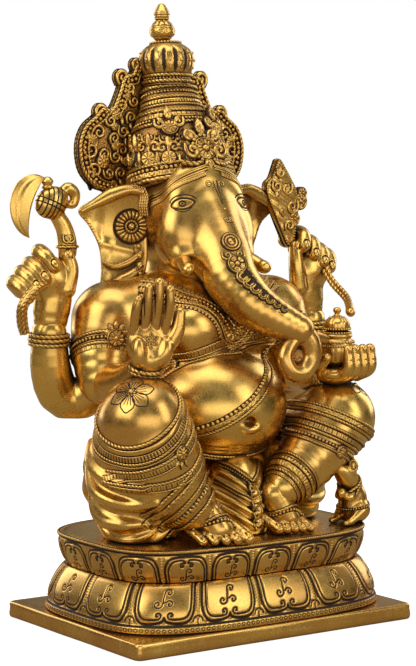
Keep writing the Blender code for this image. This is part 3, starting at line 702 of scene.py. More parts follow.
def balls(casting, centres, radii, normals=None, flat=1.0):
    """Beads at centres; flattened along the normals if given."""
    centres = np.atleast_2d(centres)[:, :3]
    shape, quads, triangles = BALL
    radii = np.broadcast_to(np.asarray(radii, dtype=np.float64), (len(centres),))
    if normals is None:
        local = np.broadcast_to(shape[None], (len(centres), *shape.shape))
    else:
        normals = np.atleast_2d(normals)
        helper = np.where(np.abs(normals[:, 2:]) < 0.8, vec(0, 0, 1)[None], vec(1, 0, 0)[None])
        a = unit(np.cross(normals, helper))
        b = np.cross(normals, a)
        local = shape[None, :, :1] * a[:, None] + shape[None, :, 1:2] * b[:, None]
        local = local + shape[None, :, 2:] * normals[:, None] * flat
    points = centres[:, None] + local * radii[:, None, None]
    start = casting.count
    offsets = (np.arange(len(centres)) * len(shape))[:, None, None]
    casting.add(points.reshape(-1, 3), (quads[None] + offsets).reshape(-1, 4), 1.0)
    casting.faces[3].append((triangles[None] + offsets).reshape(-1, 3) + start)


def bead_row(casting, path, normals, radius, pitch=None, closed=False, lift=0.25):
    """Beads in a row along a route, half sunk in the surface."""
    pitch = pitch or radius * 2.15
    # A dark strip round the row: patina and painted shade where the beads meet the surface.
    patina_and_shade_line(casting, path, normals, radius + 0.7, closed)
    both = np.hstack([path, normals])
    if closed:
        both = np.vstack([both, both[:1]])
    run = np.sum(np.linalg.norm(np.diff(both[:, :3], axis=0), axis=1))
    count = max(2, int(round(run / pitch)))
    even = resample(both, run / count)
    if closed:
        even = even[:-1]
    outward = unit(even[:, 3:])
    balls(casting, even[:, :3] + outward * radius * lift, radius, outward)


def flutes(pitch, depth):
    return lambda s, b: depth * (np.abs(np.sin(math.pi * s / pitch)) - 1) * (np.abs(b) < 0.72)


def studs(pitch, size, depth):
    """Round bosses with a hollow middle in a chain."""

    def height(s, b):
        u = (s / pitch - np.round(s / pitch)) * pitch
        r = np.sqrt(u**2 + b**2) / size
        return depth * (np.exp(-(((r - 0.62) / 0.24) ** 2)) - 0.6 * np.exp(-((r / 0.26) ** 2)))

    return height


def scales(pitch, depth):
    """Overlapping scallops."""

    def height(s, b):
        u = s / pitch - np.round(s / pitch)
        arc = np.clip((b + 1) / 2 + 0.9 * u**2 * 4 - 0.15, 0, 1)
        return depth * (np.sqrt(np.clip(1 - arc**2, 0, 1)) - 0.6)

    return height


def stipple(depth, seed=1):
    """Punched texture."""
    spots = np.random.default_rng(seed).uniform(-1, 1, 4096)

    def height(s, b):
        i = (np.round(s / 0.9).astype(int) * 57 + np.round(b * 5).astype(int) * 131) % 4096
        return depth * spots[i]

    return height


def belt(
    casting, path, normals, width, thickness, texture=None, closed=False, across=11, sink=1.6, crown=0.3
):
    """A strap laid on the surface, with rounded edges and a chased texture on its face."""
    # A dark strip under the strap's edges: patina and painted shade.
    patina_and_shade_line(casting, path, normals, width / 2 + 0.85, closed)
    count = len(path)
    side = unit(np.cross(tangents(path, closed), normals))
    b = np.linspace(-1, 1, across)
    run = run_along(path)
    s, bb = np.meshgrid(run, b, indexing="ij")
    height = thickness * (1 - crown * bb**2 - 0.6 * np.clip((np.abs(bb) - 0.86) / 0.14, 0, 1) ** 2)
    carved = texture(s, bb) if texture else np.zeros_like(s)
    height = height + carved
    half = width / 2
    points = path[:, None] + side[:, None] * (bb * half)[..., None] + normals[:, None] * height[..., None]
    skirt = [(path + side * half * edge * 1.02 - normals * sink)[:, None] for edge in (-1, 1)]
    points = np.concatenate([skirt[0], points, skirt[1]], axis=1)
    # Low places of the chased texture, and the edge skirts with a zero share, are darkened as patina and
    # painted shade.
    relief = np.clip(1 + carved / max(np.abs(carved).max(), 1e-6), 0, 1) if texture else np.ones_like(s)
    edge = np.zeros((count, 1))
    relief = np.concatenate([edge, relief, edge], axis=1)
    faces = grid_faces(count, across + 2, closed, True)
    casting.add(points.reshape(-1, 3), faces, relief.ravel())
    if not closed:
        ring = np.arange(across + 2)
        start = casting.count - len(points.reshape(-1, 3))
        for end, flip in ((0, False), (count - 1, True)):
            loop = start + end * (across + 2) + ring
            fan = np.stack([np.full(across, loop[0]), loop[1:-1], loop[2:]], axis=1)
            casting.faces[3].append(fan[:, ::-1] if flip else fan)


def plane_axes(normal, up):
    normal = unit(normal)
    up = vec(*up)
    up = unit(up - normal * (up @ normal))
    return np.cross(up, normal), up, normal


def disc(casting, place, normal, up, radius, height, rings=14, segments=72, sink=2.0):
    """A round boss whose height is a function of share of radius and angle."""
    across, up, normal = plane_axes(normal, up)
    r = np.linspace(0.02, 1, rings)
    a = np.arange(segments) * TAU / segments
    rr, aa = np.meshgrid(r, a, indexing="ij")
    h = height(rr, aa)
    flat = np.cos(aa)[..., None] * across + np.sin(aa)[..., None] * up
    points = vec(*place) + radius * rr[..., None] * flat + h[..., None] * normal
    steps = ((radius * 1.01, 0.1), (radius + 0.9, 0.05), (radius + 1.0, -sink))
    skirt = [vec(*place) + reach * flat[-1:] + drop * normal for reach, drop in steps]
    points = np.concatenate([points, *skirt])
    middle = vec(*place) + normal * h[0].mean()
    count = points.shape[0] * segments
    # Low parts of the boss get a lower relief share and its skirt none: darkened as patina and painted shade.
    casting.add(
        np.vstack([points.reshape(-1, 3), middle[None]]),
        grid_faces(rings + 3, segments, False, True)[:, ::-1],
        np.concatenate(
            [np.clip(h / max(h.max(), 1e-6) * 1.4, 0, 1).ravel(), np.zeros(segments * 3), [1.0]]
        ),
    )
    ring = np.arange(segments)
    fan = np.stack([ring, np.roll(ring, -1), np.full(segments, count)], axis=1)
    casting.faces[3].append(fan + casting.count - count - 1)


def flower(petals, top=1.0, eye=0.28, depth=0.5):
    """Height of a rosette: a domed eye, petals with dark seams, a raised rim."""

    def height(r, a):
        seam = np.abs(np.sin(a * petals / 2))
        dome = np.sqrt(np.clip(1 - (r / eye) ** 2, 0, 1)) * (r < eye)
        petal = (1 - depth * (1 - seam) ** 2) * (1 - 0.35 * r) * (r >= eye * 1.12) * (r < 0.84)
        rim = np.exp(-(((r - 0.93) / 0.06) ** 2))
        return top * np.maximum(np.maximum(dome * 1.25, petal * 0.85), rim * 0.9) + 0.05

    return height


def spiral(turns=1.4, start=0.12, points=26, lead=0.9):
    """Plan of a volute: unit spiral that opens into a short straight tail."""
    t = np.linspace(0, 1, points)
    angle = -TAU * turns * (1 - t)
    radius = start + (1 - start) * t
    curl = np.stack([radius * np.cos(angle), radius * np.sin(angle)], axis=1)
    tail = np.array([[1.0 - 0.1 * k**2, lead * k] for k in np.linspace(0.15, 1, 6)])
    return np.vstack([curl, tail])


def draw(casting, plan, place, normal, up, size, radius, mirror=1, surface=None, taper=0.5, flat=0.8):
    """A raised line of tapering thickness that follows a plan laid on the surface."""
    across, up, normal = plane_axes(normal, up)
    plan = np.asarray(plan) * size
    path = vec(*place) + mirror * plan[:, :1] * across + plan[:, 1:2] * up
    path = resample(path, max(radius * 0.55, 0.4))
    if surface is not None:
        path, normals = surface.snap(path)
    else:
        normals = np.broadcast_to(normal, path.shape)
    # A dark strip beside the raised line: patina and painted shade.
    patina_and_shade_line(casting, path, normals, radius + 0.6)
    share = np.linspace(0, 1, len(path))
    thick = radius * (taper + (1 - taper) * np.sin(math.pi * np.clip(share, 0.02, 0.98)) ** 0.5)
    tube(casting, path + normals * radius * 0.25, thick, 8, False, normals, flat)


def leaf(casting, place, normal, up, length, width, rise=1.4, notches=0, mirror=1, bend=0.0):
    """A pointed leaf with a midrib and, if notched, lobed edges."""
    across, up, normal = plane_axes(normal, up)
    rows, columns = 22, 13
    v = np.linspace(0, 1, rows)
    u = np.linspace(-1, 1, columns)
    vv, uu = np.meshgrid(v, u, indexing="ij")
    half = width / 2 * np.sin(math.pi * np.clip(vv, 0.02, 0.985)) ** 0.7 * (1.25 - 0.5 * vv)
    if notches:
        half = half * (0.82 + 0.18 * np.abs(np.sin(math.pi * notches * vv)))
    crease = 0.30 * np.exp(-((uu / 0.16) ** 2)) - 0.25 * np.abs(
        np.sin(math.pi * (notches or 4) * vv + 2 * np.abs(uu))
    )
    h = rise * (
        (1 - uu**2) ** 0.5 * np.sin(math.pi * np.clip(vv, 0.03, 0.97)) ** 0.5 + 0.5 * crease * (1 - uu**4)
    )
    h = h - 1.2 * (np.abs(uu) > 0.99)
    sway = mirror * bend * length * vv**2
    points = vec(*place) + (mirror * uu * half + sway)[..., None] * across + (vv * length)[..., None] * up
    points = points + h[..., None] * normal
    back = points[:, ::-1] - (np.clip(h[:, ::-1], 0, None) + 1.6)[..., None] * normal
    both = np.concatenate([points, back], axis=1)
    faces = grid_faces(rows, columns * 2, False, True)
    if mirror > 0:
        faces = faces[:, ::-1]
    # The leaf's back has no relief share and its low parts a smaller one: darkened as patina and painted
    # shade.
    relief = np.concatenate([np.clip(h / rise, 0, 1), np.zeros_like(h)], axis=1)
    casting.add(both.reshape(-1, 3), faces[:, ::-1], relief.ravel())


def place_in_figure(points):
    """From figure space, above the seat, to millimetres in the frame."""
    return points * K + vec(0, 0, SEAT_Z)


class Figure(Casting):
    """A casting modelled in figure space."""

    def piece(self, name, material, slot="polished_brass", replaces=(), angle=None):
        self.points = [place_in_figure(p) for p in self.points]
        return super().piece(name, material, slot, replaces, angle)


def stroke_distance(u, v, plan):
    """Distance from each (u, v) to a drawn line of points."""
    best = np.full(u.shape, 1e3)
    for (ax, ay), (bx, by) in zip(plan[:-1], plan[1:]):
        dx, dy = bx - ax, by - ay
        t = np.clip(((u - ax) * dx + (v - ay) * dy) / max(dx * dx + dy * dy, 1e-9), 0, 1)
        best = np.minimum(best, np.hypot(u - ax - t * dx, v - ay - t * dy))
    return best


def smooth_plan(points, spacing=0.8):
    flat = [(x, y, 0.0) for x, y in points]
    return smooth_path(flat, spacing)[:, :2]


# ---------------------------------------------------------------- lotus pedestal and plinth

LOTUS_POWER = 3.5
LOTUS_HALF = (UPPER_HIGH[:2] - UPPER_LOW[:2]) / 2
LOTUS_CENTRE = (UPPER_HIGH[:2] + UPPER_LOW[:2]) / 2
GRAIN = 0.62  # spacing of the points on the pedestal

UPPER_PETALS = 18
LOWER_PETALS = 14


def lotus_outline(offset, count):
    """Even points round the superellipse, from the front middle towards +X, and their outward normals."""
    half = LOTUS_HALF + offset
    angle = np.linspace(0, TAU, 9001) - TAU / 4
    c, s = np.cos(angle), np.sin(angle)
    x = half[0] * np.sign(c) * np.abs(c) ** (2 / LOTUS_POWER)
    y = half[1] * np.sign(s) * np.abs(s) ** (2 / LOTUS_POWER)
    fine = np.stack([x, y, np.zeros_like(x)], axis=1)
    run = run_along(fine)
    places = np.arange(count) * run[-1] / count
    even = np.stack([np.interp(places, run, fine[:, i]) for i in range(2)], axis=1)
    along = np.roll(even, -1, 0) - np.roll(even, 1, 0)
    for _ in range(4):
        along = along + np.roll(along, 1, 0) + np.roll(along, -1, 0)
    along = unit(along)
    return even + LOTUS_CENTRE, np.stack([along[:, 1], -along[:, 0]], axis=1), places, run[-1]


def groove(distance, width, depth):
    return -depth * np.exp(-((distance / (width * 0.55)) ** 2))


def curl(x, y, size, turns=1.15, hand=1, facing=0.0):
    """A small volute in the plan of a petal, ending at its eye."""
    t = np.linspace(0, 1, 22)
    angle = math.radians(facing) + hand * TAU * turns * t
    radius = size * (1 - 0.88 * t)
    return [(x + r * math.cos(a), y + r * math.sin(a)) for r, a in zip(radius, angle)]


def scroll_strokes(low, high, size):
    """An S-scroll between two volutes, and a third volute that springs from the foot of its stem."""
    stem = [*curl(*low, size, hand=-1, facing=-10)[::-1], *curl(*high, size * 0.94, hand=-1, facing=190)]
    branch = [
        (low[0] + size, low[1] + size * 0.2),
        *curl(low[0] + size * 2.5, low[1], size * 0.86, hand=-1, facing=150),
    ]
    return np.array(stem), np.array(branch)


def arch_petal(u, v, half, top):
    """Relief of an upper petal: a double arch, two volutes under its crown and an S-scroll below."""
    a = np.abs(u)
    side = half - 1.2
    outer = smooth_plan(
        [(side, -2), (side, top * 0.45), (side - 1.2, top - 7), (side - 5.5, top - 2.2), (0, top - 0.6)]
    )
    inset = 2.6
    inner = smooth_plan(
        [
            (side - inset, -2),
            (side - inset, top * 0.45),
            (side - inset - 1.4, top - 8.4),
            (side - inset - 5.0, top - 4.6),
            (3.4, top - 3.6),
            (1.1, top - 6.0),
        ]
    )
    volute = np.array([(1.1, top - 6.0), *curl(3.6, top - 8.2, 2.5, hand=-1, facing=140)])
    lines = groove(stroke_distance(a, v, outer), 1.5, 1.0)
    lines = np.minimum(lines, groove(stroke_distance(a, v, inner), 1.35, 0.8))
    lines = np.minimum(lines, groove(stroke_distance(a, v, volute), 1.2, 0.8))
    for stroke in scroll_strokes((-4.0, top * 0.17), (2.3, top * 0.43), 3.1):
        lines = np.minimum(lines, groove(stroke_distance(u, v, stroke), 0.95, 0.75))
    within = np.clip((side - a) / 3.0, 0, 1) * np.clip((top - v - 1.0) / 3.0, 0, 1)
    return lines, within


def cup_petal(u, v, half, top):
    """Relief of a lower petal: a double U that ends in two lobes, with volutes and an S-scroll."""
    a = np.abs(u)
    side = half - 1.4
    outer = smooth_plan(
        [
            (side, top + 2), (side, top * 0.5), (side - 1.6, 7.0), (side - 6.0, 1.6), (side * 0.45, 0.6),
            (2.2, 2.2), (0, 5.2),
        ]
    )
    inset = 3.1
    inner = smooth_plan(
        [
            (side - inset, top + 2), (side - inset, top * 0.5), (side - inset - 1.6, 8.6),
            (side - inset - 5.6, 4.6), (7.2, 3.8),
        ]
    )
    volute = np.array([(7.2, 3.8), *curl(5.4, 7.4, 3.4, hand=-1, facing=-60)])
    lines = groove(stroke_distance(a, v, outer), 1.6, 1.1)
    lines = np.minimum(lines, groove(stroke_distance(a, v, inner), 1.4, 0.85))
    lines = np.minimum(lines, groove(stroke_distance(a, v, volute), 1.3, 0.85))
    for stroke in scroll_strokes((-6.0, top * 0.49), (2.4, top * 0.77), 3.9):
        lines = np.minimum(lines, groove(stroke_distance(u, v, stroke), 1.05, 0.8))
    within = np.clip((side - a) / 3.4, 0, 1) * np.clip((v - 1.0) / 3.4, 0, 1)
    return lines, within


def punched(u, v, pitch, radius):
    """Little ring marks in a row."""
    w = (u / pitch - np.round(u / pitch)) * pitch
    return np.abs(np.hypot(w, v) - radius)


def dotted(u, v, pitch, radius, height):
    w = (v / pitch - np.round(v / pitch)) * pitch
    return height * np.clip(1 - np.hypot(u, w) ** 2 / radius**2, 0, 1) ** 0.5


def petal_places(s, perimeter, count, phase):
    pitch = perimeter / count
    shifted = s - phase
    u = (shifted / pitch - np.round(shifted / pitch)) * pitch
    return u, pitch / 2


def upper_relief(s, v, perimeter, height):
    u, half = petal_places(s, perimeter, UPPER_PETALS, 0.0)
    top = height - 4.6
    lines, within = arch_petal(u, v, half - 1.6, top)
    swell = 1.0 * (within ** 0.5 - 1)
    wedge = half - np.abs(u)
    column = dotted(wedge, v, 2.3, 1.0, 0.8) * (v < top - 1)
    rim_groove = groove(v - (height - 3.4), 1.5, 1.0)
    rim_edge = groove(v - (height - 0.9), 0.8, 0.3)
    field = swell * (v < top + 1.6)
    lines = lines * (v < height - 2.4)
    # The cut lines, made 2.2 times deeper, are returned for the relief share: painted dark as patina and
    # painted shade in the grooves.
    cuts = np.minimum(lines, rim_groove)
    return field + lines + column + np.minimum(rim_groove, rim_edge), 2.2 * cuts


def lower_relief(s, v, perimeter, height):
    u, half = petal_places(s, perimeter, LOWER_PETALS, 8.0)
    foot = 9.6
    top = height - foot
    lines, within = cup_petal(u, v - foot, half - 2.0, top)
    swell = 1.3 * (within ** 0.5 - 1)
    in_petals = v > foot - 0.6
    wedge = half - np.abs(u)
    column = dotted(wedge, v, 2.4, 1.05, 0.9) * (v > foot + 4)
    fleur = np.minimum(
        groove(
            stroke_distance(wedge, v - foot, smooth_plan([(0.4, 6.0), (3.4, 4.4), (4.2, 1.6)])), 1.1, 0.7
        ),
        groove(wedge, 1.0, 0.5) * (v < foot + 4),
    )
    lines = np.minimum(lines, fleur) * in_petals
    rings = groove(
        punched(s, v - 4.4, perimeter / round(perimeter / 4.6), 1.25), 0.8, 0.5
    ) * (v < foot - 2.6)
    ditch = groove(v - (foot - 1.6), 1.7, 1.2)
    # The second value is the cut lines made 2.2 times deeper, painted dark as patina and painted shade in the
    # grooves.
    return swell * in_petals + column + lines + rings + ditch, 2.2 * np.minimum(
        np.minimum(lines, rings), ditch
    )


def tier(profile, relief, phase_offset, low, high):
    """Wall of a tier as a grid: its places, and the depth of its cut lines that the brass paints dark as
    patina and painted shade.
    """
    heights = np.array([(offset, low + share * (high - low)) for offset, share in profile])
    curve = smooth_path([(o, z, 0.0) for o, z in heights], GRAIN)[:, :2]
    run = run_along(curve)
    count = int(2 * round(lotus_outline(0, 10)[3] / GRAIN / 2))
    slope = unit(np.gradient(curve, axis=0))
    rows = []
    _, _, _, perimeter = lotus_outline(phase_offset, 10)
    for offset, z in curve:
        rows.append(lotus_outline(offset, count)[:2])
    flat = np.array([r[0] for r in rows])
    outward = np.array([r[1] for r in rows])
    s = np.arange(count) / count * perimeter
    ss, vv = np.meshgrid(s, run, indexing="xy")
    # cuts: depth of the cut lines, painted dark in the brass as patina and painted shade.
    depth, cuts = relief(ss, vv, perimeter, run[-1])
    push_out, push_up = slope[:, 1], -slope[:, 0]
    points = np.zeros((len(curve), count, 3))
    points[..., :2] = flat + outward * (depth * push_out[:, None])[..., None]
    points[..., 2] = curve[:, 1:2] + depth * push_up[:, None]
    return points, cuts


def capped(casting, wall, depth, deck_rings, deck_sag, underside):
    """Close a tier's wall with a deck that runs in to its middle, and an underside."""
    count = wall.shape[1]
    middle = wall[-1].mean(0)
    rings, marks = [], []
    for share in deck_rings:
        ring = middle + (wall[-1] - middle) * share
        ring[:, 2] = wall[-1][:, 2].mean() + deck_sag(ring, share)
        rings.append(ring)
        marks.append(np.full(count, 1.0))
    low_middle = wall[0].mean(0)
    foot = low_middle + (wall[0] - low_middle) * underside
    foot[:, 2] = wall[0][:, 2].mean()
    points = np.concatenate([foot[None], wall, np.array(rings)])
    # The foot ring and the middle of the underside get a zero share: painted shade under the tier.
    relief = np.concatenate([np.zeros((1, count)), depth, np.array(marks)])
    ends = [foot.mean(0), points[-1].mean(0)]
    add_rounds(casting, points, ends, np.append(relief.ravel(), [0, 1]))


def hand_waviness(points, amount):
    x, y = points[:, 0], points[:, 1]
    return amount * (
        np.sin(x * 0.061 + 1.3) * np.sin(y * 0.083 + 0.4) + 0.5 * np.sin(x * 0.023 - y * 0.037)
    )


# Relief share from the depth of a cut: deep cuts are darkened as patina and painted shade.
def patina_and_shade_of(depth, deep):
    return np.clip(1 + depth / deep, 0, 1)


def make_lower_tier():
    profile = [
        (7.0, 0.0), (8.9, 0.05), (8.7, 0.16), (8.0, 0.27), (6.0, 0.50), (2.2, 0.74), (-2.4, 0.93),
        (-5.2, 1.0),
    ]
    casting = Casting()
    wall, depth = tier(profile, lower_relief, 6.0, LOWER_LOW[2], LOWER_HIGH[2])
    capped(casting, wall, patina_and_shade_of(depth, 1.1), (0.97, 0.9, 0.6), lambda ring, share: 0.0, 0.99)
    return casting.piece("lotus_lower_petals", PEDESTAL, "antiqued_brass", ["lotus_lower_tier"])


def make_upper_tier():
    profile = [
        (-6.6, 0.0), (-5.9, 0.08), (-3.6, 0.24), (-1.3, 0.52), (-0.4, 0.84), (-0.3, 0.965), (-1.1, 1.0)
    ]
    casting = Casting()
    wall, depth = tier(profile, upper_relief, -0.5, UPPER_LOW[2], UPPER_HIGH[2] - 0.15)

    def sag(ring, share):
        rim_groove = -0.9 * math.exp(-(((share - 0.974) / 0.006) ** 2))
        return rim_groove + hand_waviness(ring, 0.12) * min(1.0, (1 - share) * 12)

    shares = [
        0.995, 0.985, 0.980, 0.974, 0.968, 0.962, 0.94, 0.9, 0.84, 0.77, 0.69, 0.6, 0.5, 0.38, 0.25, 0.12
    ]
    capped(casting, wall, patina_and_shade_of(depth, 1.1), shares, sag, 0.98)
    path, outward, _, _ = lotus_outline(-0.9, 900)
    rim = np.column_stack([path, np.full(len(path), UPPER_HIGH[2] - 1.1)])
    normals = unit(np.column_stack([outward, np.full(len(path), 0.55)]))
    bead_row(casting, rim, normals, 1.05, 2.25, True, lift=0.1)
    return casting.piece("lotus_upper_petals", PEDESTAL, "antiqued_brass", ["lotus_upper_tier"])


def make_plinth():
    low, high = PLINTH_LOW, PLINTH_HIGH
    half = (high[:2] - low[:2]) / 2
    centre = (high[:2] + low[:2]) / 2
    corner = 5.0
    rows = []
    bevel = 2.0
    stations = [(-bevel, low[2]), (-0.6, low[2] + 0.5), (0.0, low[2] + 1.6)]
    stations += [
        (0.15 * math.sin(k * 1.7), low[2] + 1.6 + k * (high[2] - low[2] - 3.4) / 4) for k in range(1, 5)
    ]
    stations += [(-0.6, high[2] - 0.55), (-1.7, high[2] - 0.02), (-4.0, high[2]), (-9.0, high[2])]
    per_side = 70
    angles = np.linspace(0, TAU / 4, 9)
    for offset, z in stations:
        ring = []
        for quarter, (sx, sy) in enumerate(((1, 1), (-1, 1), (-1, -1), (1, -1))):
            h = half + offset - corner
            arc = [
                (
                    sx * h[0] + corner * math.cos(a + quarter * TAU / 4),
                    sy * h[1] + corner * math.sin(a + quarter * TAU / 4),
                )
                for a in angles
            ]
            ring += arc
            nx, ny = ((-1, 1), (-1, -1), (1, -1), (1, 1))[quarter]
            a = np.array(arc[-1])
            b = np.array([nx * h[0], ny * h[1]]) + corner * vec(
                math.cos((quarter + 1) * TAU / 4), math.sin((quarter + 1) * TAU / 4)
            )
            ring += [tuple(a + (b - a) * t) for t in np.linspace(0, 1, per_side + 2)[1:-1]]
        ring = np.array(ring)
        wobble = 0.22 * np.sin(ring[:, 0] * 0.047 + z * 0.3) + 0.18 * np.sin(ring[:, 1] * 0.071 + z * 0.5)
        outward = unit(ring)
        shift = wobble[:, None] * outward - 0.35 * outward
        rows.append(np.column_stack([ring + shift + centre, np.full(len(ring), z)]))
    rows = np.array(rows)
    for share in (0.92, 0.8, 0.5, 0.1):
        inner = rows[len(stations) - 1].copy()
        inner[:, :2] = centre + (inner[:, :2] - centre) * share
        rows = np.concatenate([rows, inner[None]])
    casting = Casting()
    add_rounds(casting, rows, [rows[0].mean(0), rows[-1].mean(0)], 1.0)
    return casting.piece("plinth_slab", SLAB, "polished_brass", ["plinth_plate"], angle=50)


make_lower_tier()
make_upper_tier()
make_plinth()


# ---------------------------------------------------------------- body: belly, chest, shoulders, upper arms


def rough_surface(clay):
    """The clay as it stands, to lay folds and cut lines on."""
    return Surface(*clay.surface(0))


def cast(clay, name, nodes, relax=2):
    """Make the clay a polished casting that stands for CAD nodes, and give its surface."""
    points, faces = clay.surface(relax)
    casting = Figure()
    casting.add(points, faces)
    casting.piece(name, SKIN, "polished_brass", nodes)
    return Surface(points, faces)


def engrave(clay, surface, knots, width, blend=0.8, depth=0.35):
    """A chased line: a thin tube carved along the surface."""
    path, normals = surface.route(knots, max(width, 1.0))
    line = path - normals * (width / 2) * depth
    clay.limb(np.column_stack([line, np.full(len(line), width / 2)]), blend, carve=True, spacing=width)


def raise_fold(clay, surface, knots, radius, blend=4.0, lift=0.0):
    """A soft ridge along the surface, thinner at its ends."""
    path, normals = surface.route(knots, max(radius, 2.0))
    share = np.linspace(0, 1, len(path))
    thick = radius * (0.35 + 0.65 * np.sin(math.pi * np.clip(share, 0.03, 0.97)) ** 0.6)
    clay.limb(np.column_stack([path + normals * lift, thick]), blend, spacing=radius)


def sink_fold(clay, surface, knots, radius, blend=3.0, lift=0.0):
    """A soft valley along the surface, shallower at its ends."""
    path, normals = surface.route(knots, max(radius, 2.0))
    share = np.linspace(0, 1, len(path))
    thick = radius * (0.3 + 0.7 * np.sin(math.pi * np.clip(share, 0.03, 0.97)) ** 0.6)
    clay.limb(np.column_stack([path + normals * lift, thick]), blend, carve=True, spacing=radius)


def make_body():
    clay = Clay((-122, -72, -2), (122, 82, 224), 1.05)
    clay.ball((0, 14, 166), (64, 41, 48))
    clay.limb([(-78, 27, 180, 27), (0, 24, 190, 30), (78, 27, 180, 27)], blend=16)
    clay.ball((0, -6, 108), (61, 56, 47), blend=12)
    clay.ball((0, -16, 100), (52, 46, 38), blend=14)
    clay.ball((0, 30, 38), (96, 48, 48), blend=8)
    clay.ball((0, 56, 150), (50, 18, 60), blend=18)
    for side in (RIGHT, LEFT):
        clay.limb(to_side(side, [(86, 27, 178, 26), (95, 22, 152, 22.5), (98, 14, 130, 18.5)]), blend=14)
        clay.ball((side * 27, -16, 170), (27, 17, 20), blend=16)
        clay.ball((side * 44, 58, 176), (26, 14, 30), blend=14)
    clay.limb([(0, 74, 205, 4), (0, 78, 150, 4), (0, 74, 95, 4)], blend=12, carve=True)
    rough = rough_surface(clay)
    clay.ball((-3, -63, 96), (5.2, 6.5, 3.9), turn(0, 0, -8), blend=4, carve=True)
    raise_fold(clay, rough, [(-11, -60, 94), (-4, -61, 89.5), (5, -61, 92)], 1.7, 3.0, -0.3)
    for height in (81, 87):
        engrave(
            clay, rough, [(-34, -38, height - 6), (0, -56, height - 14), (34, -38, height - 6)], 0.9, 2.0
        )
    clay.above(0.0)
    return cast(clay, "body_casting", ["torso", "right_upper_arm", "left_upper_arm"])


BODY = make_body()


def strap(casting, surface, knots, width, texture=None, edge=0.9, thickness=1.1, closed=False, lay=2.4):
    """A chased strap between two rope borders."""
    path, normals = surface.route(knots, 0.8, closed)
    belt(casting, path, normals, width, thickness, texture, closed)
    if edge:
        side = unit(np.cross(tangents(path, closed), normals))
        for way in (-1, 1):
            line = path + side * way * (width / 2 + edge * 0.5) + normals * 0.3
            rope(casting, line, edge, closed, normals, lay=lay)
    return path, normals


def make_body_jewellery():
    casting = Figure()
    half = [
        (-66, 8, 206), (-54, 0, 205), (-42, -9, 202), (-30, -16, 194), (-18, -22, 184), (-6, -26, 174),
        (3, -28, 166),
    ]
    across = [(12, -27, 172), (28, -20, 184), (42, -10, 196), (58, 2, 206), (68, 12, 208)]
    collar, up = strap(casting, BODY, half + across, 11.0, studs(6.2, 2.6, 1.1), 1.35, 1.3)
    bead_row(casting, collar, up, 1.5, 3.3, lift=1.2)
    side = unit(np.cross(tangents(collar), up))
    lower = BODY.route(collar[::8] + side[::8] * 10.5, 0.8)
    belt(casting, *lower, 5.0, 0.9, scales(3.4, 0.9))
    upper = BODY.route(collar[::8] - side[::8] * 10.5, 0.8)
    belt(casting, *upper, 4.6, 0.9, flutes(2.0, 0.8))
    rope(casting, lower[0] + lower[1] * 0.2, 1.1, False, lower[1])
    for index in range(60, len(collar) - 60, 34):
        disc(casting, collar[index] + up[index] * 0.6, up[index], side[index], 5.4, flower(8, 2.0))
    middle = int(np.argmin(np.linalg.norm(collar - vec(3, -28, 166), axis=1)))
    low = collar[middle] + vec(0, -1, -9)
    place, normal = BODY.snap(low)
    disc(casting, place[0], normal[0], (0, 0, 1), 6.2, flower(10, 2.6))
    for angle in (-38, 0, 38):
        way = vec(math.sin(math.radians(angle)), 0, -math.cos(math.radians(angle)))
        spot, out = BODY.snap(place[0] + way * 5)
        leaf(casting, spot[0], out[0], way, 9.5, 5.2, 1.8, 3)
    dangle = [place[0] + vec(k * 2.6, 0, -13.5 + abs(k) * 1.6) for k in range(-2, 3)]
    spots, outs = BODY.snap(dangle)
    balls(casting, spots + outs * 0.8, 1.3)

    chest = [
        (-72, 6, 132), (-62, -9, 139), (-50, -18, 146), (-34, -27, 153), (-14, -34, 158), (8, -36, 161),
        (30, -31, 166), (50, -16, 170), (66, 2, 172),
    ]
    strap(casting, BODY, chest, 5.2, flutes(2.1, 0.8), 1.15, 1.0)
    path, normals = BODY.route([(p[0], p[1], p[2] - 8.4) for p in chest], 0.8)
    rope(casting, path, 1.1, False, normals)

    belly = [
        (-52, 30, 58), (-60, 8, 72), (-54, -18, 82), (-43, -37, 89), (-25, -54, 97), (-3, -61, 110),
        (14, -56, 122), (29, -44, 134), (42, -30, 148), (52, -14, 160), (60, 2, 172),
    ]
    path, normals = BODY.route(belly, 0.8)
    side = unit(np.cross(tangents(path), normals))
    belt(casting, path, normals, 4.6, 0.8, stipple(0.22, 3))
    rope(casting, path + side * 3.4, 1.25, False, normals)
    row, out = BODY.route((path - side * 3.4)[::10], 0.8)
    bead_row(casting, row, out, 2.0, 4.3, lift=0.15)
    for index in range(4, len(row) - 4, 11):
        balls(casting, row[index : index + 1] + out[index : index + 1] * 1.4, 0.8)

    waist = [
        (-66, 20, 62), (-58, -8, 68), (-42, -30, 66), (-22, -42, 61), (0, -47, 58), (22, -42, 61),
        (42, -30, 66), (58, -8, 68), (66, 20, 62),
    ]
    strap(casting, BODY, waist, 3.6, flutes(1.8, 0.6), 1.2, 1.1)
    casting.piece("body_jewellery", CHASED, "antiqued_brass")


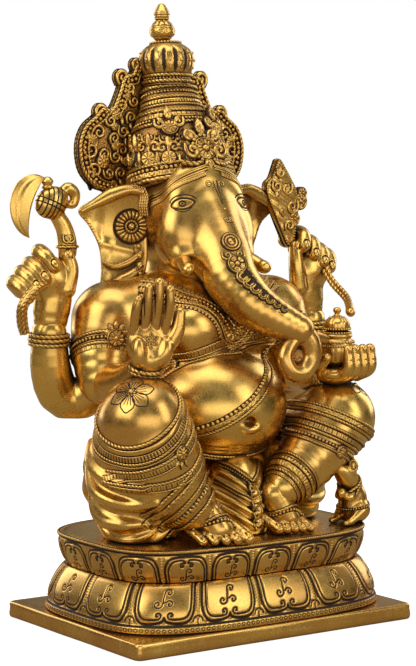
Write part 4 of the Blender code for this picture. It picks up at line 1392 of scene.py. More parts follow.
def make_armlets():
    casting = Figure()
    for side in (RIGHT, LEFT):
        axis = vec(side * 0.25, -0.25, -0.94)
        for drop, kind in ((0, "rope"), (4.2, "beads"), (8.4, "rope"), (11.5, "belt")):
            centre = vec(side * 95, 20, 160) + axis * drop
            path, normals = BODY.ring(centre, axis + vec(0, -0.22, 0), 40, 0.9)
            if kind == "rope":
                rope(casting, path, 1.3, True, normals)
            elif kind == "beads":
                bead_row(casting, path, normals, 1.5, 3.3, True)
            else:
                belt(casting, path, normals, 3.6, 1.0, flutes(2.2, 0.8), True)
        front = vec(side * 97, -6, 166)
        place, normal = BODY.snap(front)
        disc(casting, place[0], normal[0], (0, 0, 1), 8.2, flower(9, 3.0))
        for tilt in (-62, -31, 0, 31, 62):
            way = vec(math.sin(math.radians(tilt)) * 0.9, 0, math.cos(math.radians(tilt)))
            spot, out = BODY.snap(place[0] + way * 6.5)
            leaf(casting, spot[0] + out[0] * 0.3, out[0], way, 9.0 - abs(tilt) * 0.04, 5.6, 2.0, 3)
    casting.piece("armlets", CHASED, "antiqued_brass")


make_body_jewellery()
make_armlets()


# ---------------------------------------------------------------- legs, robe and feet

RIGHT_KNEE = vec(-105, -57, 103)
RIGHT_KNEE_AXIS = unit(vec(-0.56, -0.40, 0.72))


def make_right_leg():
    clay = Clay((-146, -104, -2), (-20, 52, 150), 0.95)
    clay.limb([(-105, -57, 103, 35.5), (-97, -56, 79, 38), (-84, -55, 54, 34), (-66, -62, 34, 22)], blend=8)
    clay.limb([(-82, 14, 46, 28), (-90, -14, 66, 32), (-100, -46, 88, 34)], blend=10)
    clay.ball((-72, -6, 28), (36, 42, 40), blend=10)
    clay.limb([(-112, -40, 70, 24), (-104, -30, 36, 24), (-94, -28, 14, 20)], blend=12)
    clay.limb([(-66, -63, 36, 18), (-55, -68, 24, 14)], blend=8)
    rough = rough_surface(clay)
    folds = [
        [(-130, -14, 84), (-132, -34, 68), (-126, -58, 57), (-116, -76, 54)],
        [(-126, -6, 74), (-126, -26, 50), (-116, -54, 38), (-104, -76, 42)],
        [(-120, 2, 62), (-118, -16, 34), (-104, -44, 22), (-88, -62, 27)],
        [(-114, 8, 46), (-110, -8, 18), (-94, -34, 8), (-72, -52, 10)],
        [(-108, 14, 26), (-100, -2, 4), (-84, -20, 1), (-62, -34, 1)],
    ]
    for index, knots in enumerate(folds):
        raise_fold(clay, rough, knots, 5.6 - 0.2 * index, 3.0, 1.2)
    folded = rough_surface(clay)
    for before, after in zip(folds, folds[1:]):
        between = (np.array(before) * 0.46 + np.array(after) * 0.54).tolist()
        sink_fold(clay, folded, between, 4.0, 2.0, 0.6)
    back_folds = [
        [(-116, 8, 78), (-96, 34, 50), (-78, 44, 16)],
        [(-108, 2, 96), (-80, 34, 66), (-56, 42, 24)],
        [(-118, -2, 62), (-104, 26, 34), (-92, 36, 8)],
    ]
    for knots in back_folds:
        raise_fold(clay, folded, knots, 4.0, 4.0, 0.4)
    clay.above(0.0)
    return cast(clay, "right_leg_casting", ["right_leg"])


RIGHT_LEG = make_right_leg()


def knee_flower(casting, surface, place, toward, up, size, petals=6):
    """A cut flower on the knee: pointed petals with veins round a small boss."""
    hub = surface.snap(place)[0][0]
    across, up, _ = plane_axes(toward, up)
    for index in range(petals):
        angle = TAU * (index + 0.5) / petals
        way = across * math.cos(angle) + up * math.sin(angle)
        side = across * -math.sin(angle) + up * math.cos(angle)
        plan = [
            (0.12, 0), (0.36, 0.24), (0.66, 0.30), (0.86, 0.16), (1.0, 0), (0.86, -0.16), (0.66, -0.30),
            (0.36, -0.24), (0.12, 0),
        ]
        inlay(casting, surface, [hub + (way * r + side * w) * size for r, w in plan], 1.25)
        for turn_by in (-0.24, 0, 0.24):
            vein = way * math.cos(turn_by) + side * math.sin(turn_by)
            inlay(casting, surface, [hub + vein * size * r for r in (0.2, 0.4, 0.62)], 0.8)
    balls(casting, hub, 2.4)


def make_right_leg_bands():
    casting = Figure()
    knee_flower(
        casting, RIGHT_LEG, RIGHT_KNEE + RIGHT_KNEE_AXIS * 34, RIGHT_KNEE_AXIS, (-0.3, 0.6, 0.5), 21.0
    )

    def band_ring(through, axis, drop, kind, size, texture=None, front_only=False):
        """A band in the plane through a place, lowered along its axis."""
        axis = unit(axis)
        middle = vec(-100, -56, 84)
        low = vec(*through) - axis * drop
        centre = middle + axis * ((low - middle) @ axis)
        path, normals = RIGHT_LEG.ring(centre, axis, 66, 0.9)
        if front_only:
            shown = path[:, 1] < -52
            start = int(np.argmax(shown & ~np.roll(shown, 1)))
            path, normals, shown = (np.roll(item, -start, axis=0) for item in (path, normals, shown))
            path, normals = path[shown], normals[shown]
        if kind == "rope":
            rope(casting, path, size, not front_only, normals)
        else:
            belt(casting, path, normals, size, 1.5, texture, not front_only)

    rings = (
        (0.0, "rope", 1.5, None),
        (3.8, "belt", 4.6, None),
        (8.8, "belt", 5.2, flutes(2.7, 1.5)),
        (12.6, "rope", 1.2, None),
        (15.0, "rope", 0.9, None),
    )
    for drop, kind, size, texture in rings:
        band_ring((-118, -88, 92), (-0.59, -0.36, 0.72), drop, kind, size, texture)
    rings = ((0.0, "rope", 1.3, None), (3.6, "belt", 4.8, flutes(2.5, 1.2)), (7.2, "rope", 1.0, None))
    for drop, kind, size, texture in rings:
        band_ring((-110, -90, 72), (-0.52, -0.22, 0.83), drop, kind, size, texture, True)
    rings = ((0.0, "rope", 1.3, None), (3.6, "belt", 4.4, flutes(2.3, 1.2)), (7.0, "rope", 1.1, None))
    for drop, kind, size, texture in rings:
        band_ring((-104, -88, 57), (-0.36, -0.36, 0.86), drop, kind, size, texture, True)
    place, normal = RIGHT_LEG.snap((-92, -94, 80))
    disc(casting, place[0], normal[0], (0, 0, 1), 6.4, flower(8, 2.8))
    for tilt in (-150, 180, 150):
        way = vec(math.sin(math.radians(tilt)), 0, math.cos(math.radians(tilt)))
        spot, out = RIGHT_LEG.snap(place[0] + way * 5.5)
        leaf(casting, spot[0], out[0], way, 8, 4.2, 1.6, 3)
    casting.piece("right_leg_bands", CHASED, "antiqued_brass")


make_right_leg_bands()


def make_left_leg():
    clay = Clay((8, -104, -2), (136, 52, 146), 0.95)
    clay.limb([(101, -50, 91, 31), (82, -52, 74, 29), (56, -56, 53, 24), (33, -60, 37, 16)], blend=8)
    clay.limb([(78, 14, 52, 28), (92, -20, 76, 31), (102, -42, 90, 30)], blend=10)
    clay.ball((78, 8, 26), (34, 34, 36), blend=10)
    clay.limb([(100, -6, 50, 22), (92, 2, 20, 20)], blend=12)
    rough = rough_surface(clay)
    folds = [
        [(60, -30, 60), (72, -28, 40), (92, -22, 34), (112, -8, 44)],
        [(56, -18, 44), (70, -22, 24), (92, -18, 18), (112, -4, 26)],
        [(54, -12, 28), (66, -20, 9), (88, -18, 5), (106, -6, 10)],
        [(126, -24, 84), (124, 2, 66), (108, 22, 44), (92, 36, 20)],
        [(122, -4, 92), (110, 20, 70), (92, 34, 46)],
    ]
    for knots in folds:
        raise_fold(clay, rough, knots, 4.2, 3.5, 0.4)
    clay.above(0.0)
    return cast(clay, "left_leg_casting", ["left_leg"])


LEFT_LEG = make_left_leg()


def make_left_leg_bands():
    casting = Figure()
    knee_flower(casting, LEFT_LEG, vec(108, -58, 112), vec(0.35, -0.5, 0.8), (0, 0, 1), 14.0)
    shin = [vec(101, -50, 91), vec(82, -52, 74), vec(56, -56, 53), vec(33, -60, 37)]

    def band_ring(start, end, share, kind, size, texture=None, reach=48, lean=(0, 0, 0)):
        axis = unit(end - start) + vec(*lean)
        centre = start + (end - start) * share
        path, normals = LEFT_LEG.ring(centre, axis, reach, 0.9)
        if kind == "rope":
            rope(casting, path, size, True, normals)
        elif kind == "beads":
            bead_row(casting, path, normals, size, closed=True)
        else:
            belt(casting, path, normals, size, 1.4, texture, True)

    lean = (0.25, 0.1, -0.35)
    for share, kind, size, texture in (
        (0.00, "rope", 1.3, None),
        (0.15, "belt", 4.2, studs(4.8, 2.0, 1.2)),
        (0.30, "rope", 1.3, None),
        (0.62, "rope", 1.2, None),
        (0.80, "belt", 4.6, flutes(2.3, 1.2)),
        (0.98, "rope", 1.2, None),
        (1.22, "beads", 1.5, None),
        (1.40, "rope", 1.0, None),
    ):
        band_ring(shin[0], shin[1], share, kind, size, texture, 52, lean)
    place, normal = LEFT_LEG.snap((80, -82, 66))
    disc(casting, place[0], normal[0], (0, 0, 1), 5.6, flower(8, 2.4))
    for share, kind, size, texture in (
        (0.30, "rope", 1.2, None),
        (0.48, "belt", 4.0, scales(3.0, 1.0)),
        (0.66, "belt", 5.4, studs(5.6, 2.3, 1.3)),
        (0.88, "rope", 1.4, None),
        (1.02, "rope", 1.0, None),
    ):
        band_ring(shin[2], shin[3], share, kind, size, texture, 34)
    casting.piece("left_leg_bands", CHASED, "antiqued_brass")


make_left_leg_bands()


def foot(side_name, heel, ball, toe_from, toe_to, root, girth, count=5):
    """A foot with five toes and their nails; toes run from one place to another in a fan."""
    low = np.min([heel[:3], ball[:3], toe_from, toe_to], axis=0) - 24
    high = np.max([heel[:3], ball[:3], toe_from, toe_to], axis=0) + 24
    clay = Clay((low[0], low[1], -2), (high[0], high[1], 52), 0.7)
    clay.limb([heel, ball], blend=5)
    tips = []
    for index in range(count):
        share = index / (count - 1)
        tip = vec(*toe_from) + (vec(*toe_to) - vec(*toe_from)) * share
        radius = girth(index)
        back = tip - vec(*root, 0)
        clay.limb(
            [
                (*back[:2], 13.0, radius * 1.1),
                (*(tip * 0.45 + back * 0.55)[:2], 9.5, radius * 1.04),
                (*tip[:2], radius * 0.9 + 0.3, radius * 0.95),
            ],
            blend=0.8,
        )
        tips.append((tip, unit(vec(root[0], root[1], 0)), radius))
    rough = rough_surface(clay)
    for tip, way, radius in tips:
        spot = vec(tip[0], tip[1], radius * 1.75) - way * radius * 0.1
        frame = plane_axes(vec(0, 0, 1) - way * -0.35, way)
        spin = np.column_stack(frame)
        clay.ball(
            spot + way * radius * 0.1,
            (radius * 0.66, radius * 0.78, radius * 0.30),
            spin,
            blend=0.3,
            carve=True,
        )
        clay.ball(
            spot + way * radius * 0.12 - vec(0, 0, 0.3),
            (radius * 0.50, radius * 0.62, radius * 0.36),
            spin,
            blend=0.3,
        )
        for back_by in (1.5, 1.9):
            middle = vec(tip[0], tip[1], 9.5) - way * radius * back_by
            across = vec(-way[1], way[0], 0)
            engrave(
                clay,
                rough,
                [middle - across * radius * 0.8, middle + vec(0, 0, 2), middle + across * radius * 0.8],
                0.7,
                0.4,
            )
    clay.above(0.0)
    return cast(clay, side_name + "_foot_casting", [side_name + "_foot"], 1)


RIGHT_FOOT = foot(
    "right",
    vec(-56, -68, 30, 13),
    vec(-46, -80, 12, 12),
    (-64, -84, 0),
    (-28, -97, 0),
    (3.0, -17),
    lambda i: 4.0 + 0.25 * i,
)
LEFT_FOOT = foot(
    "left",
    vec(24, -60, 32, 13),
    vec(34, -66, 12, 11),
    (20, -74, 0),
    (49, -80, 0),
    (6, -15),
    lambda i: 4.9 - 0.3 * i,
)


def make_anklets():
    casting = Figure()
    start, end = vec(-72, -60, 40), vec(-54, -67, 22)
    for share, kind, size, texture in (
        (-0.55, "rope", 1.5, None),
        (-0.25, "belt", 6.0, studs(5.2, 2.2, 1.3)),
        (0.08, "rope", 1.2, None),
        (0.36, "belt", 6.0, scales(3.2, 1.1)),
        (0.66, "rope", 1.4, None),
    ):
        path, normals = RIGHT_LEG.ring(start + (end - start) * share, unit(end - start), 40, 0.9)
        if kind == "rope":
            rope(casting, path, size, True, normals)
        else:
            belt(casting, path, normals, size, 1.5, texture, True)
    for surface, across, lengthwise in (
        (
            RIGHT_FOOT,
            [(-67, -74, 12), (-59, -77, 18), (-48, -83, 18), (-36, -86, 15), (-29, -84, 8)],
            (0.15, -0.95, 0),
        ),
        (
            LEFT_FOOT,
            [(17, -64, 14), (25, -68, 19), (35, -72, 19), (45, -71, 14), (49, -68, 8)],
            (0.3, -0.9, 0),
        ),
    ):
        path, normals = surface.route(across, 0.8)
        bead_row(casting, path, normals, 1.5, 3.3)
        path, normals = surface.route(
            [vec(*p) - unit(vec(*lengthwise)) * 4 + vec(0, 0, 2) for p in across], 0.8
        )
        rope(casting, path, 1.2, False, normals)
        path, normals = surface.route(
            [vec(*p) - unit(vec(*lengthwise)) * 9 + vec(0, 0, 6) for p in across[1:-1]], 0.8
        )
        belt(casting, path, normals, 5.0, 1.0, scales(2.8, 0.9))
    casting.piece("anklets", CHASED, "antiqued_brass")


make_anklets()


def make_apron():
    clay = Clay((-40, -72, -2), (44, -14, 80), 0.8)
    clay.limb([(0, -38, 50, 18), (2, -43, 30, 19), (4, -45, 8, 20)], blend=6)
    clay.ball((3, -34, 26), (33, 16, 38), blend=8)
    rough = rough_surface(clay)
    for index in range(5):
        drop = index * 9.5
        for side in (-1, 1):
            line = [(2 + side * 27, -40, 66 - drop), (2 + side * 13, -58, 55 - drop), (2, -63, 45 - drop)]
            raise_fold(clay, rough, line, 2.6, 2.0, 0.2)
    folded = rough_surface(clay)
    for index in range(5):
        drop = index * 9.5 + 4.6
        for side in (-1, 1):
            line = [(2 + side * 27, -40, 66 - drop), (2 + side * 13, -58, 55 - drop), (2, -63, 45 - drop)]
            sink_fold(clay, folded, line, 1.5, 1.2, 0.5)
    clay.above(0.0)
    points, faces = clay.surface()
    surface = Surface(points, faces)
    casting = Figure()
    casting.add(points, faces)
    for drop in (0, 19):
        for side in (-1, 1):
            line = [(2 + side * 26, -42, 67 - drop), (2 + side * 13, -58, 56 - drop), (2, -63, 46 - drop)]
            path, normals = surface.route(line, 0.8)
            rope(casting, path, 1.0, False, normals)
            bead_row(casting, path - vec(0, 0, 3.0), normals, 0.9, 2.4)
    path, normals = surface.route([(2, -64, 44), (3, -66, 26), (4, -66, 6)], 0.8)
    belt(casting, path, normals, 7.0, 1.4, scales(3.4, 1.1))
    side = unit(np.cross(tangents(path), normals))
    for way in (-1, 1):
        rope(casting, path + side * way * 4.0, 1.0, False, normals)
    casting.piece("apron_casting", CHASED, "antiqued_brass", ["front_sash"])


make_apron()


# ---------------------------------------------------------------- arms, hands and bangles


def finger(clay, knots, nail_out, nails, blend=1.6):
    """A finger through its knuckles; notes a nail on its last joint, facing nail_out."""
    clay.limb(knots, blend, spacing=2.0)
    tip, before = vec(*knots[-1][:3]), vec(*knots[-2][:3])
    nails.append((tip, unit(tip - before), unit(vec(*nail_out)), knots[-1][3]))


def add_nails(clay, nails):
    """Cut the bed of each nail (tip, way along the finger, way out, finger radius) and lay the nail in it."""
    for tip, way, out, radius in nails:
        side = unit(np.cross(way, out))
        out = np.cross(side, way)
        spin = np.column_stack([side, way, out])
        centre = tip + out * radius * 0.78 + way * radius * 0.15
        clay.ball(centre, (radius * 0.62, radius * 0.85, radius * 0.42), spin, blend=0.4, carve=True)
        clay.ball(centre - out * 0.25, (radius * 0.5, radius * 0.74, radius * 0.36), spin, blend=0.4)


def hand_piece(name, clay, nails, replaces, relax=1):
    """Finish a hand with its nails and cast it."""
    add_nails(clay, nails)
    return cast(clay, name, replaces, relax)


def bangles(casting, surface, centre, axis, reach, spread, sizes):
    """Rope bangles side by side round a wrist."""
    axis = unit(vec(*axis))
    for offset, size, kind in sizes:
        path, normals = surface.ring(vec(*centre) + axis * offset * spread, axis, reach, 0.8)
        if kind == "rope":
            rope(casting, path, size, True, normals, sink=0.15)
        elif kind == "beads":
            bead_row(casting, path, normals, size, closed=True, lift=0.5)
        else:
            belt(casting, path, normals, size, 1.5, flutes(1.9, 0.8), True)


TRIPLE = ((-1.0, 1.7, "rope"), (0.0, 1.9, "rope"), (1.0, 1.7, "rope"))


def make_front_right_arm():
    clay = Clay((-122, -72, 104), (-74, 32, 160), 0.9)
    clay.limb([(-98, 10, 128, 17.5), (-99, -22, 131, 15.5), (-99, -46, 142, 13.0)], blend=3)
    cast(clay, "right_front_forearm_casting", ["right_front_forearm"])

    clay = Clay((-126, -84, 132), (-66, -44, 230), 0.62)
    spin = turn(0, 0, -20)
    across = vec(math.cos(math.radians(-20)), math.sin(math.radians(-20)), 0)
    clay.ball((-100, -57, 166), (17.5, 8.5, 20), spin, blend=2)
    clay.limb([(-99, -50, 142, 11.5), (-99, -55, 152, 12.0)], blend=6)
    clay.ball((-90, -66, 159), (7.5, 6.5, 12), turn(0, 20, -20), blend=3)
    clay.ball((-111, -61, 159), (6, 5.5, 12), spin, blend=3)
    clay.ball((-101, -71, 166), (7, 5.5, 10), spin, blend=4, carve=True)
    nails = []
    for offset, top, radius in ((-13.2, 206, 3.9), (-4.5, 216, 4.3), (4.3, 220, 4.5), (12.9, 214, 4.3)):
        base = vec(-100, -59, 176) + across * offset * 0.96
        joint = vec(-100, -65, (180 + top) / 2) + across * offset * 1.06
        tip = vec(-100, -67, top - radius) + across * offset * 0.98
        clay.limb([(*base, radius * 1.02), (*joint, radius), (*tip, radius * 0.84)], blend=0.5, spacing=2)
        for share in (0.14, 0.42, 0.72):
            spot = base + (tip - base) * share - vec(0, 4.4, 0)
            bend = spot - vec(0, radius * 0.62, 0)
            ends = [bend - across * radius * 0.9, bend, bend + across * radius * 0.9]
            clay.limb([(*end, 0.95) for end in ends], blend=0.6, carve=True, spacing=1)
        nails.append((tip, vec(0, 0, 1), vec(0.3, 1, 0), radius * 0.8))
    for offset in (-8.8, -0.1, 8.6):
        low = vec(-100, -66, 181) + across * offset
        clay.limb([(*low, 1.0), (*(low + vec(0, -1.5, 24)), 1.0)], blend=0.8, carve=True, spacing=1)
    finger(clay, [(-90, -61, 157, 7), (-79, -67, 174, 6.2), (-76, -68, 190, 4.8)], (0.8, 0.5, 0.3), nails)
    clay.limb(
        [(-84, -72, 181, 0.9), (-77, -74.5, 179, 0.9), (-72, -71, 178, 0.9)],
        blend=0.6,
        carve=True,
        spacing=1,
    )
    surface = hand_piece("blessing_hand_casting", clay, nails, ["blessing_hand"])

    casting = Figure()
    bangles(casting, surface, (-99, -51, 146), (0.0, -0.3, 0.95), 24, 3.3, TRIPLE[:2])
    palm, out = surface.snap((-103, -72, 168))
    frame_up = (0.05, 0, 1)
    for index in range(6):
        angle = TAU * index / 6
        draw_plan = [
            (0, 0.12), (0.20, 0.45), (0.14, 0.85), (0, 1.0), (-0.14, 0.85), (-0.20, 0.45), (0, 0.12)
        ]
        c, s = math.cos(angle), math.sin(angle)
        plan = [(x * c - y * s, x * s + y * c) for x, y in draw_plan]
        draw(casting, plan, palm[0], out[0], frame_up, 6.4, 0.42, 1, surface, 1.0, 0.7)
    balls(casting, palm + out * 0.3, 1.1)
    casting.piece("blessing_hand_bangle", CHASED, "antiqued_brass")


def make_front_left_arm():
    clay = Clay((72, -70, 100), (122, 34, 158), 0.9)
    clay.limb([(98, 10, 128, 17.5), (97, -22, 128, 15.0), (94, -44, 132, 12.4)], blend=3)
    surface = cast(clay, "left_front_forearm_casting", ["left_front_forearm"])
    bands = Figure()
    bangles(bands, surface, (94.5, -40, 131.5), (-0.1, -0.95, 0.2), 24, 3.3, TRIPLE)
    bands.piece("left_front_bangles", CHASED, "antiqued_brass")

    clay = Clay((62, -92, 108), (128, -44, 166), 0.62)
    clay.ball((93, -58, 131), (20, 17, 8.5), blend=2)
    clay.limb([(94, -48, 131, 11.0), (93, -56, 130, 9)], blend=5)
    clay.ball((92, -62, 141), (14, 12, 6), blend=3, carve=True)
    nails = []
    for offset in (0, 8, 16, 24):
        knots = [(86 + offset, -64, 129, 5.8), (90 + offset, -77, 136, 5.3), (90 + offset, -77, 152, 4.7)]
        finger(clay, knots, (0, -1, 0.1), nails, 1.0)
        joint = vec(90 + offset, -83, 143)
        clay.limb(
            [(*(joint - vec(4.5, 0, 0)), 0.8), (*joint, 0.8), (*(joint + vec(4.5, 0, 0)), 0.8)],
            blend=0.8,
            carve=True,
        )
    finger(clay, [(78, -54, 132, 6.5), (70, -64, 139, 5.4), (71, -72, 146, 4.6)], (-0.9, -0.3, 0.2), nails)
    hand_piece("bowl_hand_casting", clay, nails, ["bowl_hand"])


def make_rear_arm(side):
    name = "right" if side == RIGHT else "left"
    clay = Clay((min(side * 84, side * 158), 10, 96), (max(side * 84, side * 158), 68, 178), 0.95)
    clay.limb(
        to_side(
            side,
            [
                (99, 26, 120, 17.5), (110, 38, 112, 18), (124, 43, 118, 18), (133, 41, 140, 17),
                (136, 38, 170, 14.5),
            ],
        ),
        4,
    )
    surface = cast(clay, name + "_rear_forearm_casting", [name + "_rear_forearm"])

    low = (min(side * 96, side * 178), 12, 166)
    high = (max(side * 96, side * 178), 62, 258)
    clay = Clay(low, high, 0.62)
    clay.limb(
        to_side(side, [(135, 38, 174, 13.5), (133, 38, 192, 16.5), (130, 36, 212, 15)]),
        blend=3,
        squash=((0, 1, 0), 0.8),
    )
    clay.ball((side * 138, 36, 216), (17, 12, 18), turn(0, side * -25, 0), blend=5)
    nails = []
    knuckles = (
        (-142, 236), (-151, 226), (-159, 219), (-166, 211)
    ) if side == RIGHT else ((124, 247), (135, 239), (145, 232), (153, 227))
    for x, z in knuckles:
        knots = [
            (x - 8 * side, 46, z - 5, 7.4),
            (x + side, 41, z + 1, 7.0),
            (x + side, 32, z - 2, 6.6),
            (x - 3 * side, 26, z - 10, 6.0),
        ]
        finger(clay, knots, (0, -1, 0.25), nails, 1.0)
    if side == RIGHT:
        finger(clay, [(-124, 30, 206, 8), (-120, 29, 222, 6.5), (-122, 30, 234, 5)], (0, -1, 0.2), nails)
    else:
        finger(clay, [(118, 30, 200, 8), (115, 29, 220, 7), (115, 31, 236, 5.5)], (0, -1, 0.2), nails)
    hand_piece(name + "_rear_hand_casting", clay, nails, [name + "_rear_hand"])
    bands = Figure()
    bangles(bands, surface, (side * 136, 38, 164), (0, -0.05, 1), 26, 3.6, TRIPLE)
    bands.piece(name + "_rear_bangles", CHASED, "antiqued_brass")


make_front_right_arm()
make_front_left_arm()
make_rear_arm(RIGHT)
make_rear_arm(LEFT)


# ---------------------------------------------------------------- head, trunk, tusks and ears


def plaque(casting, outline, centre, place, front, thickness, rings=26, back=None, cuts=None):
    """A shaped plate: an outline in its own plane, with relief on its front and a plainer back.

    place turns plan (x, z) and depth towards the viewer into figure space."""
    outline = np.asarray(outline)
    count = len(outline)
    shares = np.concatenate([np.linspace(0.04, 0.86, rings), [0.91, 0.95, 0.98, 1.0]])
    rr, index = np.meshgrid(shares, np.arange(count), indexing="ij")
    x = centre[0] + rr * (outline[index, 0] - centre[0])
    z = centre[1] + rr * (outline[index, 1] - centre[1])
    round_off = np.sqrt(np.clip(1 - ((rr - 0.88) / 0.12).clip(0, 1) ** 2, 0, 1))
    lift = front(rr, x, z)
    face = thickness / 2 * (0.15 + 0.85 * round_off) + lift * round_off
    rear_lift = back(rr, x, z) if back else np.zeros_like(x)
    rear = -thickness / 2 * (0.15 + 0.85 * round_off) + rear_lift * round_off
    points = np.concatenate([place(x, z, face), place(x, z, rear)[::-1]])
    relief = np.concatenate([cuts(rr, x, z) if cuts else np.ones_like(x), np.ones_like(x)]).clip(0, 1)
    middle = np.array([centre], dtype=np.float64)
    ends = np.vstack([place(middle[:, 0], middle[:, 1], side[:1].mean(1)) for side in (face, rear)])
    add_rounds(casting, points, ends, np.append(relief.ravel(), [1, 1]))


def closed_outline(knots, count):
    """A smooth closed outline through plan points, evenly spaced."""
    knots = [(x, y, 0.0) for x, y in knots]
    path = smooth_path(knots[-2:] + knots + knots[:2], 0.5)
    start = np.array(knots[0][:2])
    half = len(path) // 2
    first = int(np.argmin(np.linalg.norm(path[:half, :2] - start, axis=1)))
    last = half + int(np.argmin(np.linalg.norm(path[half:, :2] - start, axis=1)))
    loop = path[first : last + 1]
    run = run_along(loop[:, :2])
    places = np.arange(count) * run[-1] / count
    return np.stack([np.interp(places, run, loop[:, i]) for i in range(2)], axis=1)


def make_head():
    clay = Clay((-64, -98, 114), (92, 84, 322), 0.95)
    clay.ball((0, 38, 264), (47, 44, 48))
    clay.ball((0, 14, 262), (38, 26, 34), blend=16)
    clay.ball((0, 4, 242), (36, 21, 24), blend=14)
    clay.limb([(0, 36, 232, 34), (0, 34, 204, 37)], blend=10)
    clay.ball((0, 20, 288), (30, 18, 20), blend=12)
    clay.ball((0, 12, 287), (34, 19, 26), blend=8)
    for side in (RIGHT, LEFT):
        clay.ball((side * 26, 6, 252), (17, 15, 22), blend=12)
        clay.ball((side * 22, 6, 284), (13, 9, 7), turn(0, side * 20, 0), blend=9)
        clay.ball((side * 30, -3, 232), (10, 11, 9), blend=8)
    knots = [
        (0, 2, 264, 21), (0, -17, 238, 22), (0, -32, 214, 20.5), (10, -49, 193, 17.5),
        (27, -61, 180, 14.2), (43, -69, 171, 11.5),
    ]
    clay.limb(knots, blend=12)
    clay.limb([(-30, -14, 226, 4), (-18, -16, 218, 4), (0, -14, 214, 3)], blend=6, carve=True)
    clay.limb([(30, -14, 226, 4), (18, -16, 218, 4), (0, -14, 214, 3)], blend=6, carve=True)
    rough = rough_surface(clay)
    for index in range(3):
        x = 34 - index * 7
        low = vec(x - 6, -64 + index * 5, 160 + index * 6)
        engrave(clay, rough, [low + vec(-10, 4, 10), low, low + vec(14, 4, 2)], 1.0, 2.0)
    return cast(clay, "head_casting", ["head", "trunk"])


HEAD = make_head()


def make_trunk_curl():
    clay = Clay((12, -92, 114), (84, -54, 184), 0.7)
    loop = [
        (43, -69, 171, 11.3), (52, -72, 160, 10.2), (53, -73, 147, 9.0), (44, -74, 136, 8.0),
        (32, -74, 137, 7.4), (27, -72, 149, 7.0), (35, -71, 161, 6.6), (50, -71, 166, 6.0),
        (70, -70, 162, 4.6),
    ]
    clay.limb(loop, blend=1.4, spacing=2)
    clay.limb([(38, -62, 150, 9), (42, -62, 150, 9)], blend=2)
    clay.ball((73, -70, 161), (2.6, 2.6, 2.6), blend=1.0, carve=True)
    cast(clay, "trunk_curl_casting", ["trunk_curl"])
    hollow = Figure()
    pits = stipple(0.35, 5)
    disc(
        hollow,
        (40, -72, 149),
        (-0.35, -0.93, 0.05),
        (0, 0, 1),
        8.5,
        lambda r,
        a: 1.2 - 1.4 * r**2 + pits(a * 12 * r, r * 2.0),
    )
    hollow.piece("trunk_curl_hollow", GROUND, "antiqued_brass")


make_trunk_curl()


def make_tusks():
    casting = Figure()
    for side in (RIGHT, LEFT):
        name = "right" if side == RIGHT else "left"
        tusk = Figure()
        clay = Clay((side * 34 - 16, -36, 210), (side * 34 + 16, 10, 248), 0.6)
        reach = -24 if side == RIGHT else -27
        clay.limb(
            to_side(side, [(27, 0, 233, 7.4), (34, -12, 228, 6.4), (38.5, reach + 1, 222, 5.4)]), blend=2
        )
        clay.limb(to_side(side, [(38, reach, 222.5, 5.6), (39, reach - 0.6, 222, 5.2)]), blend=1)
        points, faces = clay.surface()
        surface = Surface(points, faces)
        tusk.add(points, faces)
        tusk.piece(name + "_tusk_casting", SKIN, "polished_brass", [name + "_tusk"])
        path, normals = surface.ring(vec(side * 31, -7, 230.5), vec(side * 7, -12, -5), 14, 0.7)
        rope(casting, path, 1.1, True, normals)
    casting.piece("tusk_collars", CHASED, "antiqued_brass")


make_tusks()


def eye(casting, hub, hand):
    """An almond eye laid on the head: a low domed ball with a ringed iris, two lids, a crease over them."""
    place, normal = HEAD.snap(hub)
    across, up, _ = plane_axes(normal[0], (hand * 0.20, -0.1, 1))
    across = across * hand
    place = place[0]
    rows, columns = 25, 49
    vv, uu = np.meshgrid(np.linspace(-1, 1, rows), np.linspace(-1, 1, columns), indexing="ij")
    half_width, half_height = 9.6, 4.3
    x = half_width * uu
    y = vv * half_height * (1 - uu**2) ** 0.75 + 0.7 * uu**2
    base, lie = HEAD.snap(place + x.reshape(-1, 1) * across + y.reshape(-1, 1) * up)
    iris = np.hypot(x - 0.3, y - 0.2)
    dome = 1.15 * (1 - vv**2) ** 0.5 * (1 - uu**2) ** 0.4
    dome = dome - 0.75 * np.exp(-(((iris - 2.1) / 0.4) ** 2)) - 0.6 * np.exp(-((iris / 0.6) ** 2))
    height = np.where(np.abs(vv) > 0.97, -0.7, dome - 0.15)
    points = base + height.reshape(-1, 1) * lie
    faces = grid_faces(rows, columns)
    shade = np.clip(0.15 + dome / 0.9, 0, 1) * (np.abs(vv) < 0.93)
    casting.add(points, faces[:, ::-1] if hand < 0 else faces, shade.ravel())
    t = np.linspace(-1, 1, 41)
    bow = (1 - t**2) ** 0.75
    # The lids, a crease, a line under the eye and the iris rings below are dark strips: patina and painted
    # shade of cut lines.
    lines = (
        (half_width + 1.4, half_height + 0.6, 0.0, 1.25),
        (half_width + 1.2, -half_height - 0.5, 0.0, 0.95),
        (half_width + 2.8, half_height + 1.0, 3.2, 0.85),
        (half_width - 1.0, -half_height - 0.4, -2.8, 0.6),
    )
    for width, height, shift, girth in lines:
        edge = place + (width * t)[:, None] * across + (
            height * bow + shift * 0.8 + 0.7 * t**2
        )[:, None] * up
        line, lie = HEAD.snap(edge)
        patina_and_shade_line(casting, line, lie, girth * 0.85)
    around = np.linspace(0, TAU, 37)
    for reach in (0.55, 2.6):
        ring = place + reach * (np.cos(around)[:, None] * across + np.sin(around)[:, None] * up)
        line, lie = HEAD.snap(ring)
        patina_and_shade_line(casting, line + lie * 1.05, lie, 0.5)


def ringed(r, a):
    """Height of a boss with two raised rings round its middle."""
    ridges = np.exp(-(((r - 0.92) / 0.08) ** 2)) + np.exp(-(((r - 0.6) / 0.08) ** 2))
    return 1.5 * (ridges + np.exp(-((r / 0.3) ** 2))) + 0.15


